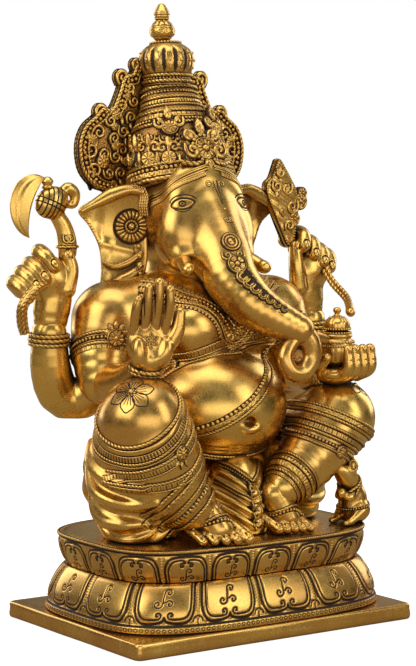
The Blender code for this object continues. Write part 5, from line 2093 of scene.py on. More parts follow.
def crescents(r, a):
    """Height of two nested crescents, open at one end."""
    ridges = np.exp(-(((r - 0.88) / 0.1) ** 2)) + 0.8 * np.exp(-(((r - 0.5) / 0.12) ** 2))
    return 1.7 * (np.cos(a) < 0.55) * ridges + 0.2


def make_face():
    casting = Figure()
    for side in (RIGHT, LEFT):
        eye(casting, vec(side * 29, -2, 275), side)
    casting.piece("eyes", CHASED, "polished_brass")

    marks = Figure()
    for side in (RIGHT, LEFT):
        brow = [
            (side * 46, 30, 276), (side * 41, 12, 285), (side * 32, 2, 295), (side * 17, -6, 304),
            (side * 4, -6, 308),
        ]
        path, normals = HEAD.route(brow, 0.8)
        # Each brow line is a raised line on a dark strip of patina and painted shade.
        for step in (0, 3.4, 6.2):
            line, out = HEAD.snap(path + vec(0, 0, step))
            patina_and_shade_line(marks, line, out, 1.7)
            tube(marks, line + out * 0.2, 0.95, 8, False, out)
        line, out = HEAD.route((path - vec(0, 0, 3.6))[::8], 0.8)
        belt(marks, line, out, 4.6, 0.9, studs(2.4, 0.9, 0.8))
    stem = [(0, -4, 300), (0, -7, 292), (0, -10, 284), (0, -16, 274)]
    path, normals = HEAD.route(stem, 0.7)
    side_way = unit(np.cross(tangents(path), normals))
    taper = np.linspace(2.0, 0.5, len(path))[:, None]
    for way in (-1, 1):
        # Dark strips of patina and painted shade beside the stem of the mark.
        patina_and_shade_line(marks, path[8:] + (side_way * way * taper)[8:], normals[8:], 0.5)
        curl_plan = spiral(1.0, 0.2)
        place, normal = HEAD.snap((way * 6, -5, 291))
        draw(marks, curl_plan, place[0], normal[0], (0, 0, -1), 3.4, 0.65, way, HEAD)
    place, normal = HEAD.snap((0, -26, 262))
    up = vec(0, 0.6, 1)
    draw(marks, spiral(1.1, 0.15, lead=0.6), place[0] + vec(-1.6, 0, 0), normal[0], up, 3.2, 0.65, 1, HEAD)
    draw(marks, spiral(1.1, 0.15, lead=0.6), place[0] + vec(1.6, 0, 0), normal[0], up, 3.2, 0.65, -1, HEAD)
    place, normal = HEAD.snap((0, -20, 270))
    balls(marks, place + normal * 0.3, 1.3)

    spine = [
        (-5, -38, 244), (-6, -46, 230), (-4, -54, 217), (5, -63, 204), (18, -71, 193), (31, -76, 184),
        (43, -79, 177),
    ]
    path, normals = HEAD.route(spine, 0.8)
    side_way = unit(np.cross(tangents(path), normals))

    def at(distance):
        index = min(int(distance / 0.8), len(path) - 1)
        return path[index], normals[index], -tangents(path)[index]

    spot, out, up = at(0)
    disc(marks, spot, out, up, 8.2, ringed)
    spot, out, up = at(12)
    for way in (-1, 1):
        place, normal = HEAD.snap(spot + np.cross(up, out) * way * 6)
        draw(marks, spiral(1.2, 0.15), place[0], normal[0], up, 4.2, 1.0, way, HEAD)
    spot, out, up = at(21)
    disc(marks, spot, out, up, 8.4, flower(5, 2.4, 0.3, 0.75))
    for index in range(7):
        distance = 33 + index * 7.4
        spot, out, up = at(distance)
        size = 6.6 - index * 0.62
        disc(marks, spot, out, up, size, crescents)
        for way in (-1, 1):
            place, normal = HEAD.snap(spot + np.cross(up, out) * way * (size + 1.4) + up * 2.4)
            balls(marks, place + normal * 0.3, 1.0)
    marks.piece("face_ornament", CHASED, "antiqued_brass")


make_face()


def ear_place(side):
    """Swings the ear's plan out and forwards about its root."""
    swing = math.radians(32)
    pivot = vec(44, 32)

    def place(x, z, depth):
        along = x - pivot[0]
        cup = 0.0035 * (z - 252) ** 2 + 0.010 * np.clip(along - 18, 0, None) ** 2
        y = pivot[1] + along * math.sin(swing) - (depth + cup) * math.cos(swing)
        px = pivot[0] + along * math.cos(swing) + (depth + cup) * math.sin(swing)
        return np.stack([side * px, y, np.broadcast_to(z, np.shape(y))], axis=-1)

    return place


def make_ear(side):
    name = "right" if side == RIGHT else "left"
    place = ear_place(side)
    outline = closed_outline(
        [
            (43, 256), (42, 232), (46, 214), (56, 207), (70, 203), (82, 204), (82, 222), (84, 240),
            (92, 257), (101, 271), (86, 281), (64, 290), (48, 289),
        ],
        240,
    )
    casting = Figure()

    def front(r, x, z):
        dish = -2.6 * np.clip(1 - r, 0, 1) ** 0.5
        ripple = 0.5 * np.sin(x * 0.42 + z * 0.06) * np.clip((x - 62) / 16, 0, 1)
        hatch = -0.5 * (r > 0.88) * (x > 78) * (np.sin(z * 2.6) > 0.1)
        rib = 1.4 * np.exp(-(((z - 238 - 0.25 * (x - 60)) / 4) ** 2)) * (x > 54)
        return dish + ripple + hatch + rib

    plate = Figure()
    plaque(plate, outline if side == LEFT else outline[::-1], (66, 252), place, front, 7.0)
    plate.piece(name + "_ear_casting", SKIN, "polished_brass", [name + "_ear"])

    def on_ear(points):
        points = np.array(points, dtype=float)
        return place(points[:, 0], points[:, 1], points[:, 2])

    top = on_ear([(46, 286, 3), (58, 288, 6), (72, 284, 9), (86, 277, 10), (99, 270, 6)])
    tube(
        casting,
        smooth_path(top, 1.0),
        np.interp(np.linspace(0, 1, len(smooth_path(top, 1.0))), [0, 0.5, 1], [3.5, 6.2, 2.2]),
        18,
    )
    crest = smooth_path(top, 1.0)
    girth = np.interp(np.linspace(0, 1, len(crest)), [0, 0.5, 1], [3.5, 6.2, 2.2])[:, None]
    for lean in (0.35, 0.95):
        out = unit(vec(-0.35 * side, -1.0, lean))
        bead_row(casting, (crest + out * girth)[4:-4], np.broadcast_to(out, crest[4:-4].shape), 0.95, 2.2)
    low = smooth_path(on_ear([(82, 208, 4), (72, 209, 8), (60, 214, 8), (48, 222, 5)]), 1.0)
    tube(casting, low, np.interp(np.linspace(0, 1, len(low)), [0, 0.5, 1], [2.2, 5.4, 3.5]), 18)
    bead_row(casting, low + vec(0, -3.4, 2.6), np.broadcast_to(vec(0, -0.8, 0.6), low.shape), 0.9, 2.3)
    inner = smooth_path(on_ear([(81, 227, 3), (70, 223, 6), (58, 227, 6), (47, 235, 4)]), 1.0)
    tube(casting, inner, np.interp(np.linspace(0, 1, len(inner)), [0, 0.5, 1], [1.2, 3.2, 2.4]), 14)
    casting.piece(name + "_ear_rims", SKIN, "polished_brass")

    jewel = Figure()
    hub = on_ear([(56, 257, 3.2)])[0]
    out = unit(on_ear([(56, 257, 6)])[0] - on_ear([(56, 257, 3)])[0])
    disc(jewel, hub, out, (0, 0, 1), 14.5, lambda r, a: 2.8 * (
        0.75 * (
            1 - 0.7 * (1 - np.abs(np.sin(a * 10))) ** 1.5
        ) * ((r > 0.42) & (r < 0.96)) * np.sin(np.pi * np.clip((r - 0.42) / 0.54, 0, 1)) ** 0.4
        + 1.1 * np.exp(-(((r - 0.33) / 0.06) ** 2))
        + 1.2 * np.sqrt(np.clip(1 - (r / 0.24) ** 2, 0, 1))
    ) + 0.1, rings=26, segments=160)
    ring = np.arange(12) * TAU / 12
    across, up, out = plane_axes(out, (0, 0, 1))
    balls(jewel, hub + (np.cos(ring)[:, None] * across + np.sin(ring)[:, None] * up) * 4.6 + out * 2.6, 1.0)
    drop = on_ear([(50, 240, 5), (49, 232, 6), (49, 224, 7), (49, 217, 7)])
    balls(jewel, drop, [2.4, 2.8, 3.2, 2.2])
    hair = [(47, 290, 3), (44, 282, 6), (45, 274, 8), (44, 266, 8)]
    for shift in range(4):
        line = smooth_path(on_ear([(x - 1.5 + shift * 1.9, z, d) for x, z, d in hair]), 0.8)
        rope(jewel, line, 1.15)
    jewel.piece(name + "_ear_jewel", CHASED, "antiqued_brass")


for hand in (RIGHT, LEFT):
    make_ear(hand)


# ---------------------------------------------------------------- crown, halo and finial


CROWN_FOOT = vec(0, 41, 289)
CROWN_LEAN = math.radians(14)
CROWN_DEPTH = 0.76


def turned(casting, profile, foot, lean_degrees, depth=1.0, segments=144, relief=None, spacing=0.9):
    """A turned shape from its top to its foot, leaning back, squeezed front to back, with a relief of
    (angle, height) on its wall."""
    lean = math.radians(lean_degrees)
    path = smooth_path([(r, z, 0.0) for r, z in profile], spacing)[:, :2]
    path[:, 0] = np.maximum(path[:, 0], 0.05)
    slope = unit(np.gradient(path, axis=0))
    angle = np.arange(segments) * TAU / segments
    aa, index = np.meshgrid(angle, np.arange(len(path)), indexing="xy")
    radius, z = path[index, 0], path[index, 1]
    lift = relief(aa, z, radius) if relief else np.zeros_like(radius)
    radius = radius + lift * -slope[index, 1]
    z = z + lift * slope[index, 0]
    x, y = radius * np.cos(aa), radius * np.sin(aa) * depth
    points = np.stack(
        [x, y * math.cos(lean) + z * math.sin(lean), z * math.cos(lean) - y * math.sin(lean)], axis=-1
    )
    points = points + vec(*foot)
    shade = np.clip(1 + np.minimum(lift, 0), 0, 1)
    ends = [points[0].mean(0), points[-1].mean(0)]
    add_rounds(casting, points, ends, np.append(shade.ravel(), [1, 0]), flip=True)
    return points.reshape(-1, 3), grid_faces(len(path), segments, False, True)[:, ::-1]


def crown_axis():
    return vec(0, math.sin(CROWN_LEAN), math.cos(CROWN_LEAN))


def grain(pitch, depth):
    """Punched ground: rows of little pits."""
    return lambda a, z, r: -depth * (0.5 + 0.5 * np.sin(a * r / pitch * TAU) * np.sin(z / pitch * TAU))


def make_crown():
    body = Figure()
    profile = [(24, 90), (26, 80), (28, 72), (35, 58), (42, 40), (47, 20), (49, 6), (48.5, 0)]
    points, faces = turned(body, profile, CROWN_FOOT, 14, CROWN_DEPTH, 200, grain(2.2, 0.5))
    surface = Surface(points, faces)
    body.piece("crown_ground", GROUND, "antiqued_brass", ["crown_band"])

    casting = Figure()
    axis = crown_axis()

    def hoop(height, kind, size, texture=None):
        path, normals = surface.ring(CROWN_FOOT + axis * height, axis, 64, 0.9, away=vec(0, 1, 0))
        if kind == "rope":
            rope(casting, path, size, True, normals, sink=0.1)
        elif kind == "beads":
            bead_row(casting, path, normals, size, size * 2.15, True, lift=0.4)
        else:
            belt(casting, path, normals, size, 1.6, texture, True)
        return path, normals

    def on_crown(angle, height):
        """The place at an angle from the front, towards +X, and a height up the crown."""
        way = vec(math.sin(angle), -math.cos(angle), 0)
        reach = vec(48, 48 * CROWN_DEPTH, 48) * (1 - height / 190)
        place, normal = surface.snap(CROWN_FOOT + axis * height + way * reach)
        return place[0], normal[0]

    hoop(3.0, "rope", 1.9)
    hoop(7.4, "belt", 5.0, studs(4.6, 1.9, 1.3))
    hoop(11.6, "beads", 1.9)
    hoop(15.4, "rope", 1.3)
    hoop(52.0, "rope", 1.5)
    hoop(55.5, "beads", 1.5)
    hoop(59.5, "belt", 4.4, flutes(2.2, 0.9))
    hoop(63.5, "rope", 1.4)
    hoop(69.5, "rope", 1.1)
    hoop(73.0, "belt", 4.0, scales(2.6, 0.9))
    hoop(77.0, "rope", 1.3)
    hoop(82.0, "beads", 1.3)
    hoop(86.5, "rope", 1.5)

    count = 14
    for index in range(count):
        angle = TAU * (index + 0.5) / count
        place, normal = on_crown(angle, 25)
        disc(casting, place + normal * 0.4, normal, axis, 6.4, flower(8, 3.0), 10, 48)
        for way in (-1, 1):
            for height, size, up_sign, girth in (
                (34, 5.6, -1, 1.5), (20.5, 3.6, 1, 1.1), (42, 4.4, 1, 1.3)
            ):
                side_angle = angle + way * (0.145 if height != 42 else 0.07)
                spot, out = on_crown(side_angle, height)
                draw(
                    casting,
                    spiral(1.25, 0.12),
                    spot + out * 0.5,
                    out,
                    axis * up_sign,
                    size,
                    girth,
                    way,
                    surface,
                    0.55,
                    0.9,
                )
        spot, out = on_crown(angle, 33)
        leaf(casting, spot + out * 0.4, out, axis, 15, 7.5, 2.6, 4)
        spot, out = on_crown(angle + TAU / count / 2, 19)
        leaf(casting, spot + out * 0.4, out, axis, 13, 5.4, 2.2, 4)
        spot, out = on_crown(angle + TAU / count / 2, 36)
        balls(casting, spot + out, 2.3)
        balls(casting, np.array([spot + axis * 5.4 + out * 0.6, spot + axis * 9.4 + out * 0.4]), 1.4)
    for index in range(22):
        spot, out = on_crown(TAU * index / 22, 62)
        leaf(casting, spot + out * 0.2, unit(out + axis * 0.3), axis, 7.5, 4.6, 1.6, 2)

    front, out = on_crown(0.0, 25)
    brooch = front + out * 4.5 + axis * 6
    tilt = unit(out + vec(-0.05, 0, 0.1))
    disc(casting, brooch, tilt, axis, 10.5, flower(12, 3.6, 0.34), 16, 96, 5)
    across, up, out = plane_axes(tilt, axis)
    ring = np.arange(18) * TAU / 18
    halo_beads = brooch + (np.cos(ring)[:, None] * across + np.sin(ring)[:, None] * up) * 12.2 + out * 0.8
    balls(casting, halo_beads, 1.9)
    for way in (-1, 1):
        draw(casting, spiral(1.3, 0.14), brooch + across * way * 14 - up * 2 + out, out, up, 7.0, 2.1, way)
        draw(casting, spiral(1.2, 0.14), brooch + across * way * 13 + up * 12, out, -up, 6.0, 1.9, way)
        leaf(casting, brooch + across * way * 9 + up * 8, out, up + across * way * 0.7, 14, 7, 2.6, 4)
        swag = [
            brooch + across * way * 6 - up * 12,
            brooch + across * way * 14 - up * 14.5,
            brooch + across * way * 25 - up * 10 - out * 5,
        ]
        rope(casting, smooth_path(swag, 0.8), 2.3, lay=1.9)
    leaf(casting, brooch + up * 11, out, up, 19, 10, 3.0, 5)
    for drop, size in ((-9, 3.0), (-13, 2.2)):
        balls(casting, brooch + up * drop + out, size)
    for tilt_by in (-40, 0, 40):
        way = up * -math.cos(math.radians(tilt_by)) + across * math.sin(math.radians(tilt_by))
        leaf(casting, brooch - up * 11 + out * 0.6, out, way, 11 if tilt_by == 0 else 8, 5.2, 2.2, 3)
    for angle in (-0.62, 0.62):
        spot, out = on_crown(angle, 50)
        tall = spot + out * 3.0
        disc(casting, tall, unit(out), axis, 7.4, flower(10, 3.2), 14, 72, 6)
        leaf(casting, tall + axis * 6, unit(out), axis, 15, 9, 2.6, 4)
        for way in (-1, 1):
            side = np.cross(axis, out)
            draw(
                casting,
                spiral(1.2, 0.14),
                tall + unit(side) * way * 8 + axis * 4,
                unit(out),
                axis,
                4.6,
                1.5,
                way,
            )
            leaf(
                casting,
                tall + unit(side) * way * 4 + axis * 3,
                unit(out),
                axis + unit(side) * way * 0.8,
                10,
                5,
                2.0,
                3,
            )
    casting.piece("crown_chasing", CHASED, "antiqued_brass")


make_crown()


def make_crown_cap():
    foot = vec(-3, 60, 377.5)
    body = Figure()
    ribs = 14

    def ribbing(a, z, r):
        bulb = np.clip((z - 8) / 6, 0, 1) * np.clip((34 - z) / 5, 0, 1)
        lobe = np.abs(np.sin(a * ribs / 2))
        pits = 0.25 * np.sin(a * r / 1.3 * math.pi) * np.sin(z / 1.3 * math.pi) * (lobe > 0.45)
        return bulb * (1.7 * (lobe ** 0.6 - 1) + pits)

    profile = [
        (9, 38.5), (12, 37), (18, 33.5), (22.3, 29), (24, 23.5), (23.6, 17), (21.4, 11.5), (19, 8),
        (19.2, 4), (21, 0),
    ]
    points, faces = turned(body, profile, foot, 4, 1.0, 220, ribbing)
    surface = Surface(points, faces)
    body.piece("crown_cap_casting", CHASED, "antiqued_brass", ["crown_cap"])
    casting = Figure()
    axis = vec(0, math.sin(math.radians(4)), math.cos(math.radians(4)))
    for height, kind, size in (
        (36.6, "beads", 1.3), (8.4, "rope", 1.5), (5.4, "beads", 1.3), (2.4, "rope", 1.6)
    ):
        path, normals = surface.ring(foot + axis * height, axis, 34, 0.8)
        if kind == "rope":
            rope(casting, path, size, True, normals, sink=0.1)
        else:
            bead_row(casting, path, normals, size, closed=True, lift=0.4)
    for index in range(ribs):
        angle = TAU * (index + 0.5) / ribs
        way = vec(math.cos(angle), math.sin(angle), 0)
        for height, size in ((15, 1.0), (22, 1.3), (29, 1.0)):
            place, normal = surface.snap(foot + axis * height + way * 24)
            balls(casting, place + normal * 0.2, size)
    casting.piece("crown_cap_beads", CHASED, "antiqued_brass")


make_crown_cap()


def make_finial():
    foot = vec(-5, 64, 414)
    body = Figure()
    profile = [
        (0, 34.9), (2.6, 34), (4.4, 31.4), (6.6, 27.6), (7.2, 25.4), (6.2, 22.8), (4.9, 21.4), (5.3, 20.4),
        (8.4, 17.6), (10.8, 13.8), (11.3, 10), (10.2, 6.8), (6.4, 3.2), (5.8, 1.6), (7, 0),
    ]

    def chase(a, z, r):
        belt_pits = -0.45 * (0.5 + 0.5 * np.sin(a * 15) * np.sin(z * 2.6)) * ((z > 6.5) & (z < 12.4))
        lines = sum(-0.7 * np.exp(-(((z - h) / 0.5) ** 2)) for h in (5.4, 13.2, 15.2, 24.4, 26.6))
        petals = -0.7 * (1 - np.abs(np.sin(a * 5))) * ((z > 15.6) & (z < 20))
        return belt_pits + lines + petals

    turned(body, profile, foot, 3, 1.0, 96, chase, 0.6)
    for height, radius in ((21.6, 5.4), (1.4, 6.2)):
        ring = np.arange(22) * TAU / 22
        path = foot + np.stack(
            [radius * np.cos(ring), radius * np.sin(ring) + height * 0.05, np.full(22, height)], axis=1
        )
        balls(body, path, 0.95)
    body.piece("crown_finial_casting", CHASED, "polished_brass", ["crown_finial"])


make_finial()


def upright(level):
    """Turns plan (x, z) and depth into places about an upright plane at a level in Y."""
    return lambda x, z, depth: np.stack(np.broadcast_arrays(x, level - depth, z), axis=-1)


def make_halo():
    half = [
        (61, 288), (72, 292), (83, 305), (86, 325), (80.5, 341), (70, 350), (63, 357), (53, 357),
        (45, 372), (40, 385), (31, 388), (26.5, 396), (16, 403),
    ]
    outline = closed_outline(
        [*half, (0, 405), *[(-x, z) for x, z in half[::-1]], (-50, 284), (0, 278), (50, 284)], 420
    )
    plate = Figure()

    def punched_ground(r, x, z):
        return -0.5 * (
            0.5 + 0.5 * np.sin(x * 2.4) * np.sin(z * 2.4)
        ) * (r < 0.93) - 1.0 * (r < 0.93) * (r > 0.2)

    def back_ribs(r, x, z):
        angle = np.arctan2(x, z - 300)
        return 0.6 * np.cos(angle * 36) * np.clip((r - 0.25) / 0.2, 0, 1) * np.clip((0.9 - r) / 0.05, 0, 1)

    plaque(plate, outline[::-1], (0, 330), upright(75), punched_ground, 7.0, 44, back_ribs)
    plate.piece("halo_casting", GROUND, "antiqued_brass", ["halo_plate"])

    casting = Figure()
    front, back = vec(0, -1, 0), vec(0, 1, 0)
    edge = np.vstack([outline, outline[:1]])
    above = edge[:, 1] > 286
    start = int(np.argmax(above & ~np.roll(above, 1)))
    loop = np.roll(outline, -start, axis=0)
    keep = loop[:, 1] > 286
    loop = loop[: int(np.argmin(keep))] if not keep.all() else loop
    centre = vec(0, 330)
    for inset, kind, size in ((1.4, "rope", 1.7), (5.6, "beads", 2.1), (9.6, "rope", 1.1)):
        way = unit(np.column_stack([loop - centre, np.zeros(len(loop))]))[:, :2]
        line = loop - way * inset
        for facing, level in ((front, 75 - 3.6), (back, 75 + 3.4)):
            if facing is back and kind == "rope" and inset > 2:
                continue
            path = resample(np.column_stack([line[:, 0], np.full(len(line), level), line[:, 1]]), 0.8)
            for _ in range(3):
                path[1:-1] = 0.5 * path[1:-1] + 0.25 * (path[:-2] + path[2:])
            normals = np.broadcast_to(facing, path.shape)
            if kind == "rope":
                rope(casting, path, size, False, normals)
            else:
                bead_row(casting, path, normals, size, size * 2.1, lift=0.2)
    scrolls = (
        (70, 304, 7.0, -1, 0.2), (74, 322, 7.4, 1, 0.0), (66, 337, 6.4, -1, -0.4), (54, 347, 5.4, 1, -0.6),
        (60, 318, 5.2, -1, 0.4), (42, 360, 5.0, -1, -0.3), (34, 376, 5.0, 1, 0.1), (56, 302, 5.2, 1, 0.3),
        (50, 332, 4.8, -1, 0.2), (24, 390, 4.4, 1, 0.2), (49, 316, 5.4, 1, 0.2), (44, 302, 5.0, -1, 0.3),
        (42, 322, 5.2, -1, 0.0), (41, 338, 5.4, 1, -0.1), (33, 350, 5.0, -1, 0.2), (30, 364, 4.8, 1, -0.1),
        (52, 292, 4.8, 1, 0.3), (34, 328, 5.0, 1, 0.1),
    )
    for side in (RIGHT, LEFT):
        for facing, level in ((front, 71.2), (back, 78.8)):
            for x, z, size, hand, tilt in scrolls:
                up = vec(side * tilt, 0, 1) * hand
                mirror = side * hand * (1 if facing is front else -1)
                place = vec(side * x, level, z)
                draw(casting, spiral(1.4, 0.12), place, facing, up, size, 1.35, mirror)
                leaf(
                    casting,
                    place + vec(side * 1.5, 0, size * 0.9 * hand),
                    facing,
                    up,
                    size * 1.5,
                    size * 0.8,
                    1.8,
                    3,
                    side,
                    0.15,
                )
            for x, z, size in (
                (62, 312, 6.2), (72, 331, 4.4), (49, 352, 4.6), (37, 368, 3.6), (48, 326, 4.4),
                (38, 312, 4.0), (50, 342, 3.6),
            ):
                disc(casting, vec(side * x, level, z), facing, (0, 0, 1), size, flower(8, 2.4), 10, 56)
        for (x, z, size, hand) in ((62, 355, 6.2, 1), (41, 385, 6.0, 1), (26, 396, 4.6, 1)):
            for facing, level in ((front, 72.5), (back, 77.5)):
                mirror = side * (1 if facing is front else -1)
                draw(
                    casting,
                    spiral(1.3, 0.16),
                    vec(side * x, level, z),
                    facing,
                    (-side * 0.4, 0, -1),
                    size,
                    1.9,
                    -mirror,
                )
    casting.piece("halo_chasing", CHASED, "antiqued_brass")


make_halo()


# ---------------------------------------------------------------- what the hands hold, and the mouse


def make_axe():
    clay = Clay((-190, 20, 216), (-104, 56, 312), 0.7)
    clay.limb(
        [(-121, 36, 226, 6), (-119, 36, 240, 8.6), (-122, 36, 256, 7.6), (-131, 36, 270, 6.4)],
        blend=1.5,
        squash=((0, 1, 0), 0.7),
    )
    clay.limb(
        [
            (-124, 36, 286, 4.2), (-118, 36, 289.5, 5.2), (-112, 36, 285, 4.8), (-113, 36, 277, 4.0),
            (-118, 36, 276, 3.2),
        ],
        blend=1,
    )
    clay.ball((-134, 36, 278), (15.5, 9.5, 13), turn(0, -25, 0), blend=2)
    points, faces = clay.surface()
    surface = Surface(points, faces)
    casting = Figure()
    casting.add(points, faces)
    tilt = turn(0, -25, 0)
    # Cross-hatching on the ball: cut lines drawn as dark strips of patina and painted shade.
    for index in range(-3, 4):
        for normal in (tilt @ unit(vec(0.75, 0, 0.66)), tilt @ unit(vec(-0.75, 0, 0.66))):
            centre = vec(-134, 36, 278) + normal * index * 3.9
            size = abs(index) * 3.9
            if size > 12:
                continue
            path, normals = surface.ring(centre, normal, 22, 0.7)
            near = np.linalg.norm(path - vec(-134, 36, 278), axis=1) < 16.5
            if near.all():
                patina_and_shade_line(casting, path, normals, 0.75, True)
    knob = [
        (0, 11.5), (2.2, 11), (4.6, 8.6), (5.0, 6.4), (3.6, 4.4), (4.8, 3.4), (4.8, 2.2), (3.4, 0.6),
        (4.2, -2),
    ]
    turned(
        casting,
        knob,
        (-138, 36, 288),
        0,
        1.0,
        40,
        lambda a,
        z,
        r: -0.5 * np.exp(-(((z - 6.3) / 0.4) ** 2)),
        0.5,
    )
    ring, normals = surface.ring((-120, 36, 241), (0, 0, 1), 20, 0.7)
    rope(casting, ring, 1.2, True, normals)
    place, _ = surface.snap((-121, 30, 250))
    for way in (-1, 1):
        draw(
            casting,
            spiral(1.3, 0.15),
            place[0] + vec(way * 1.5, 0, -2),
            (0, -1, 0),
            (0, 0, 1),
            4.0,
            1.0,
            way,
            surface,
        )
        draw(
            casting,
            spiral(1.3, 0.15),
            vec(-121 + way * 1.5, 42, 248),
            (0, 1, 0),
            (0, 0, 1),
            4.0,
            1.0,
            -way,
            surface,
        )
    casting.piece("axe_casting", CHASED, "polished_brass", ["battle_axe"])

    blade = Figure()
    count = 60
    share = np.linspace(0, 1, count)
    angle = np.radians(62 + 196 * share)
    edge = np.stack([-151 + 22.5 * np.cos(angle), 275 + 26.5 * np.sin(angle)], axis=1)
    spine = edge[:1] + (edge[-1:] - edge[:1]) * share[:, None]
    spine = spine + vec(-6.5, 1.5) * (np.sin(math.pi * share) ** 0.7)[:, None]
    tips = np.sin(math.pi * (0.03 + 0.94 * share)) ** 0.4
    rows = []
    for face in (1, -1):
        steps = np.linspace(0, 1, 16)
        for step in steps[::face]:
            line = edge + (spine - edge) * step
            bevel = 0.3 + 1.5 * min(step / 0.3, 1.0) + 0.9 * (step > 0.38) - 0.7 * math.exp(
                -(((step - 0.36) / 0.05) ** 2)
            )
            rows.append(np.stack([line[:, 0], 36 - face * bevel * tips, line[:, 1]], axis=1))
    rows = np.array(rows)
    blade.add(rows.reshape(-1, 3), grid_faces(len(rows), count, True, False), 1.0)
    ring = np.arange(len(rows))
    for end, order in ((0, -1), (count - 1, 1)):
        cap = np.vstack([rows[:, end], rows[:, end].mean(0)])
        fan = np.stack([ring, np.roll(ring, -1), np.full(len(rows), len(rows))], axis=1)
        blade.add(cap, fan[:, ::order])
    blade.piece("axe_blade", SKIN, "polished_brass")

    tassel = Figure()
    trunk = [
        (-146, 25, 212, 4.6), (-160, 22, 206, 4.6), (-169, 24, 194, 4.6), (-168, 27, 181, 4.4),
        (-165, 28, 171, 3.6),
    ]
    path = smooth_path(trunk, 0.6)
    for angle in np.arange(5) * TAU / 5:
        normal, across = carried_frames(path[:, :3])
        spread = np.linspace(0.55, 0.75, len(path))[:, None]
        strand = path[:, :3] + (normal * math.cos(angle) + across * math.sin(angle)) * path[:, 3:4] * spread
        rope(tassel, strand, 1.7)
    tube(tassel, path[:, :3], path[:, 3] * 0.8, 12)
    tassel.piece("axe_cord", CHASED, "antiqued_brass", ["axe_tassel"])


make_axe()


def make_noose():
    plume = Figure()
    outline = closed_outline(
        [
            (113, 236), (108, 237), (102, 248), (93, 265), (85, 282), (84, 293), (90, 299), (95, 310),
            (98, 315), (104, 308), (112, 297), (119, 285), (120, 270), (117, 252), (115, 240),
        ],
        160,
    )

    def veins(r, x, z):
        return 2.0 * np.sqrt(np.clip(1 - r**2, 0, 1)) - 0.7 * np.abs(
            np.sin((z + 0.6 * x) * 0.42)
        ) * (r < 0.9)

    plaque(plume, outline[::-1], (102, 280), upright(36), veins, 7.0, 26, lambda r, x, z: -veins(r, x, z))
    for facing, level in ((vec(0, -1, 0), 31.5), (vec(0, 1, 0), 40.5)):
        hand = 1 if level < 36 else -1
        for x, z, size, mirror, up in (
            (112, 272, 6.4, 1, 1), (106, 288, 5.6, 1, 1), (95, 290, 5.0, -1, 1), (109, 255, 4.6, 1, -1),
            (99, 302, 3.8, -1, 1),
        ):
            draw(plume, spiral(1.4, 0.12), (x, level, z), facing, (0, 0, up), size, 1.6, mirror * hand)
        for x, z, length, tilt in (
            (103, 262, 15, -0.5), (97, 276, 15, -0.3), (104, 280, 14, 0.3), (97, 296, 14, 0.1),
            (111, 262, 11, 0.5),
        ):
            leaf(plume, (x, level + 0.5, z), facing, (tilt, 0, 1), length, 6.0, 2.2, 4)
    edge = resample(np.column_stack([outline[:, 0], np.full(len(outline), 36.0), outline[:, 1]]), 0.8)
    for level in (32.6, 39.4):
        line = edge.copy()
        line[:, 1] = level
        inward = unit(vec(102, level, 280) - line)
        bead_row(
            plume, line + inward * 2.0, np.broadcast_to(vec(0, level - 36, 0) / 3.4, line.shape), 1.0, 2.4
        )
    rope(
        plume,
        smooth_path([(112, 36, 238), (104, 36, 250), (95, 36, 266), (87, 36, 283), (86, 36, 292)], 0.8),
        2.2,
    )
    for x, z, radius in ((122, 276.5, 7.0), (115, 261, 5.8), (124, 284, 4.6)):
        for level, facing in ((33, vec(0, -1, 0)), (39, vec(0, 1, 0))):
            disc(plume, (x, level, z), facing, (0, 0, 1), radius, flower(7, 2.6), 12, 48, 3)
        balls(plume, (x, 36, z), radius * 0.75)
    plume.piece("noose_casting", CHASED, "antiqued_brass", ["noose"])

    tail = Figure()
    knots = [(143, 25, 218), (142, 10, 204), (141, -10, 192), (134, -24, 185), (127, -33, 181)]
    path = smooth_path(knots, 0.6)
    for angle in np.arange(3) * TAU / 3:
        normal, across = carried_frames(path)
        rope(tail, path + (normal * math.cos(angle) + across * math.sin(angle)) * 2.0, 2.0)
    tube(tail, path, 2.2, 10)
    balls(tail, (127, -34, 180.5), 4.2)
    tail.piece("noose_cord", CHASED, "antiqued_brass", ["noose_tail"])


make_noose()


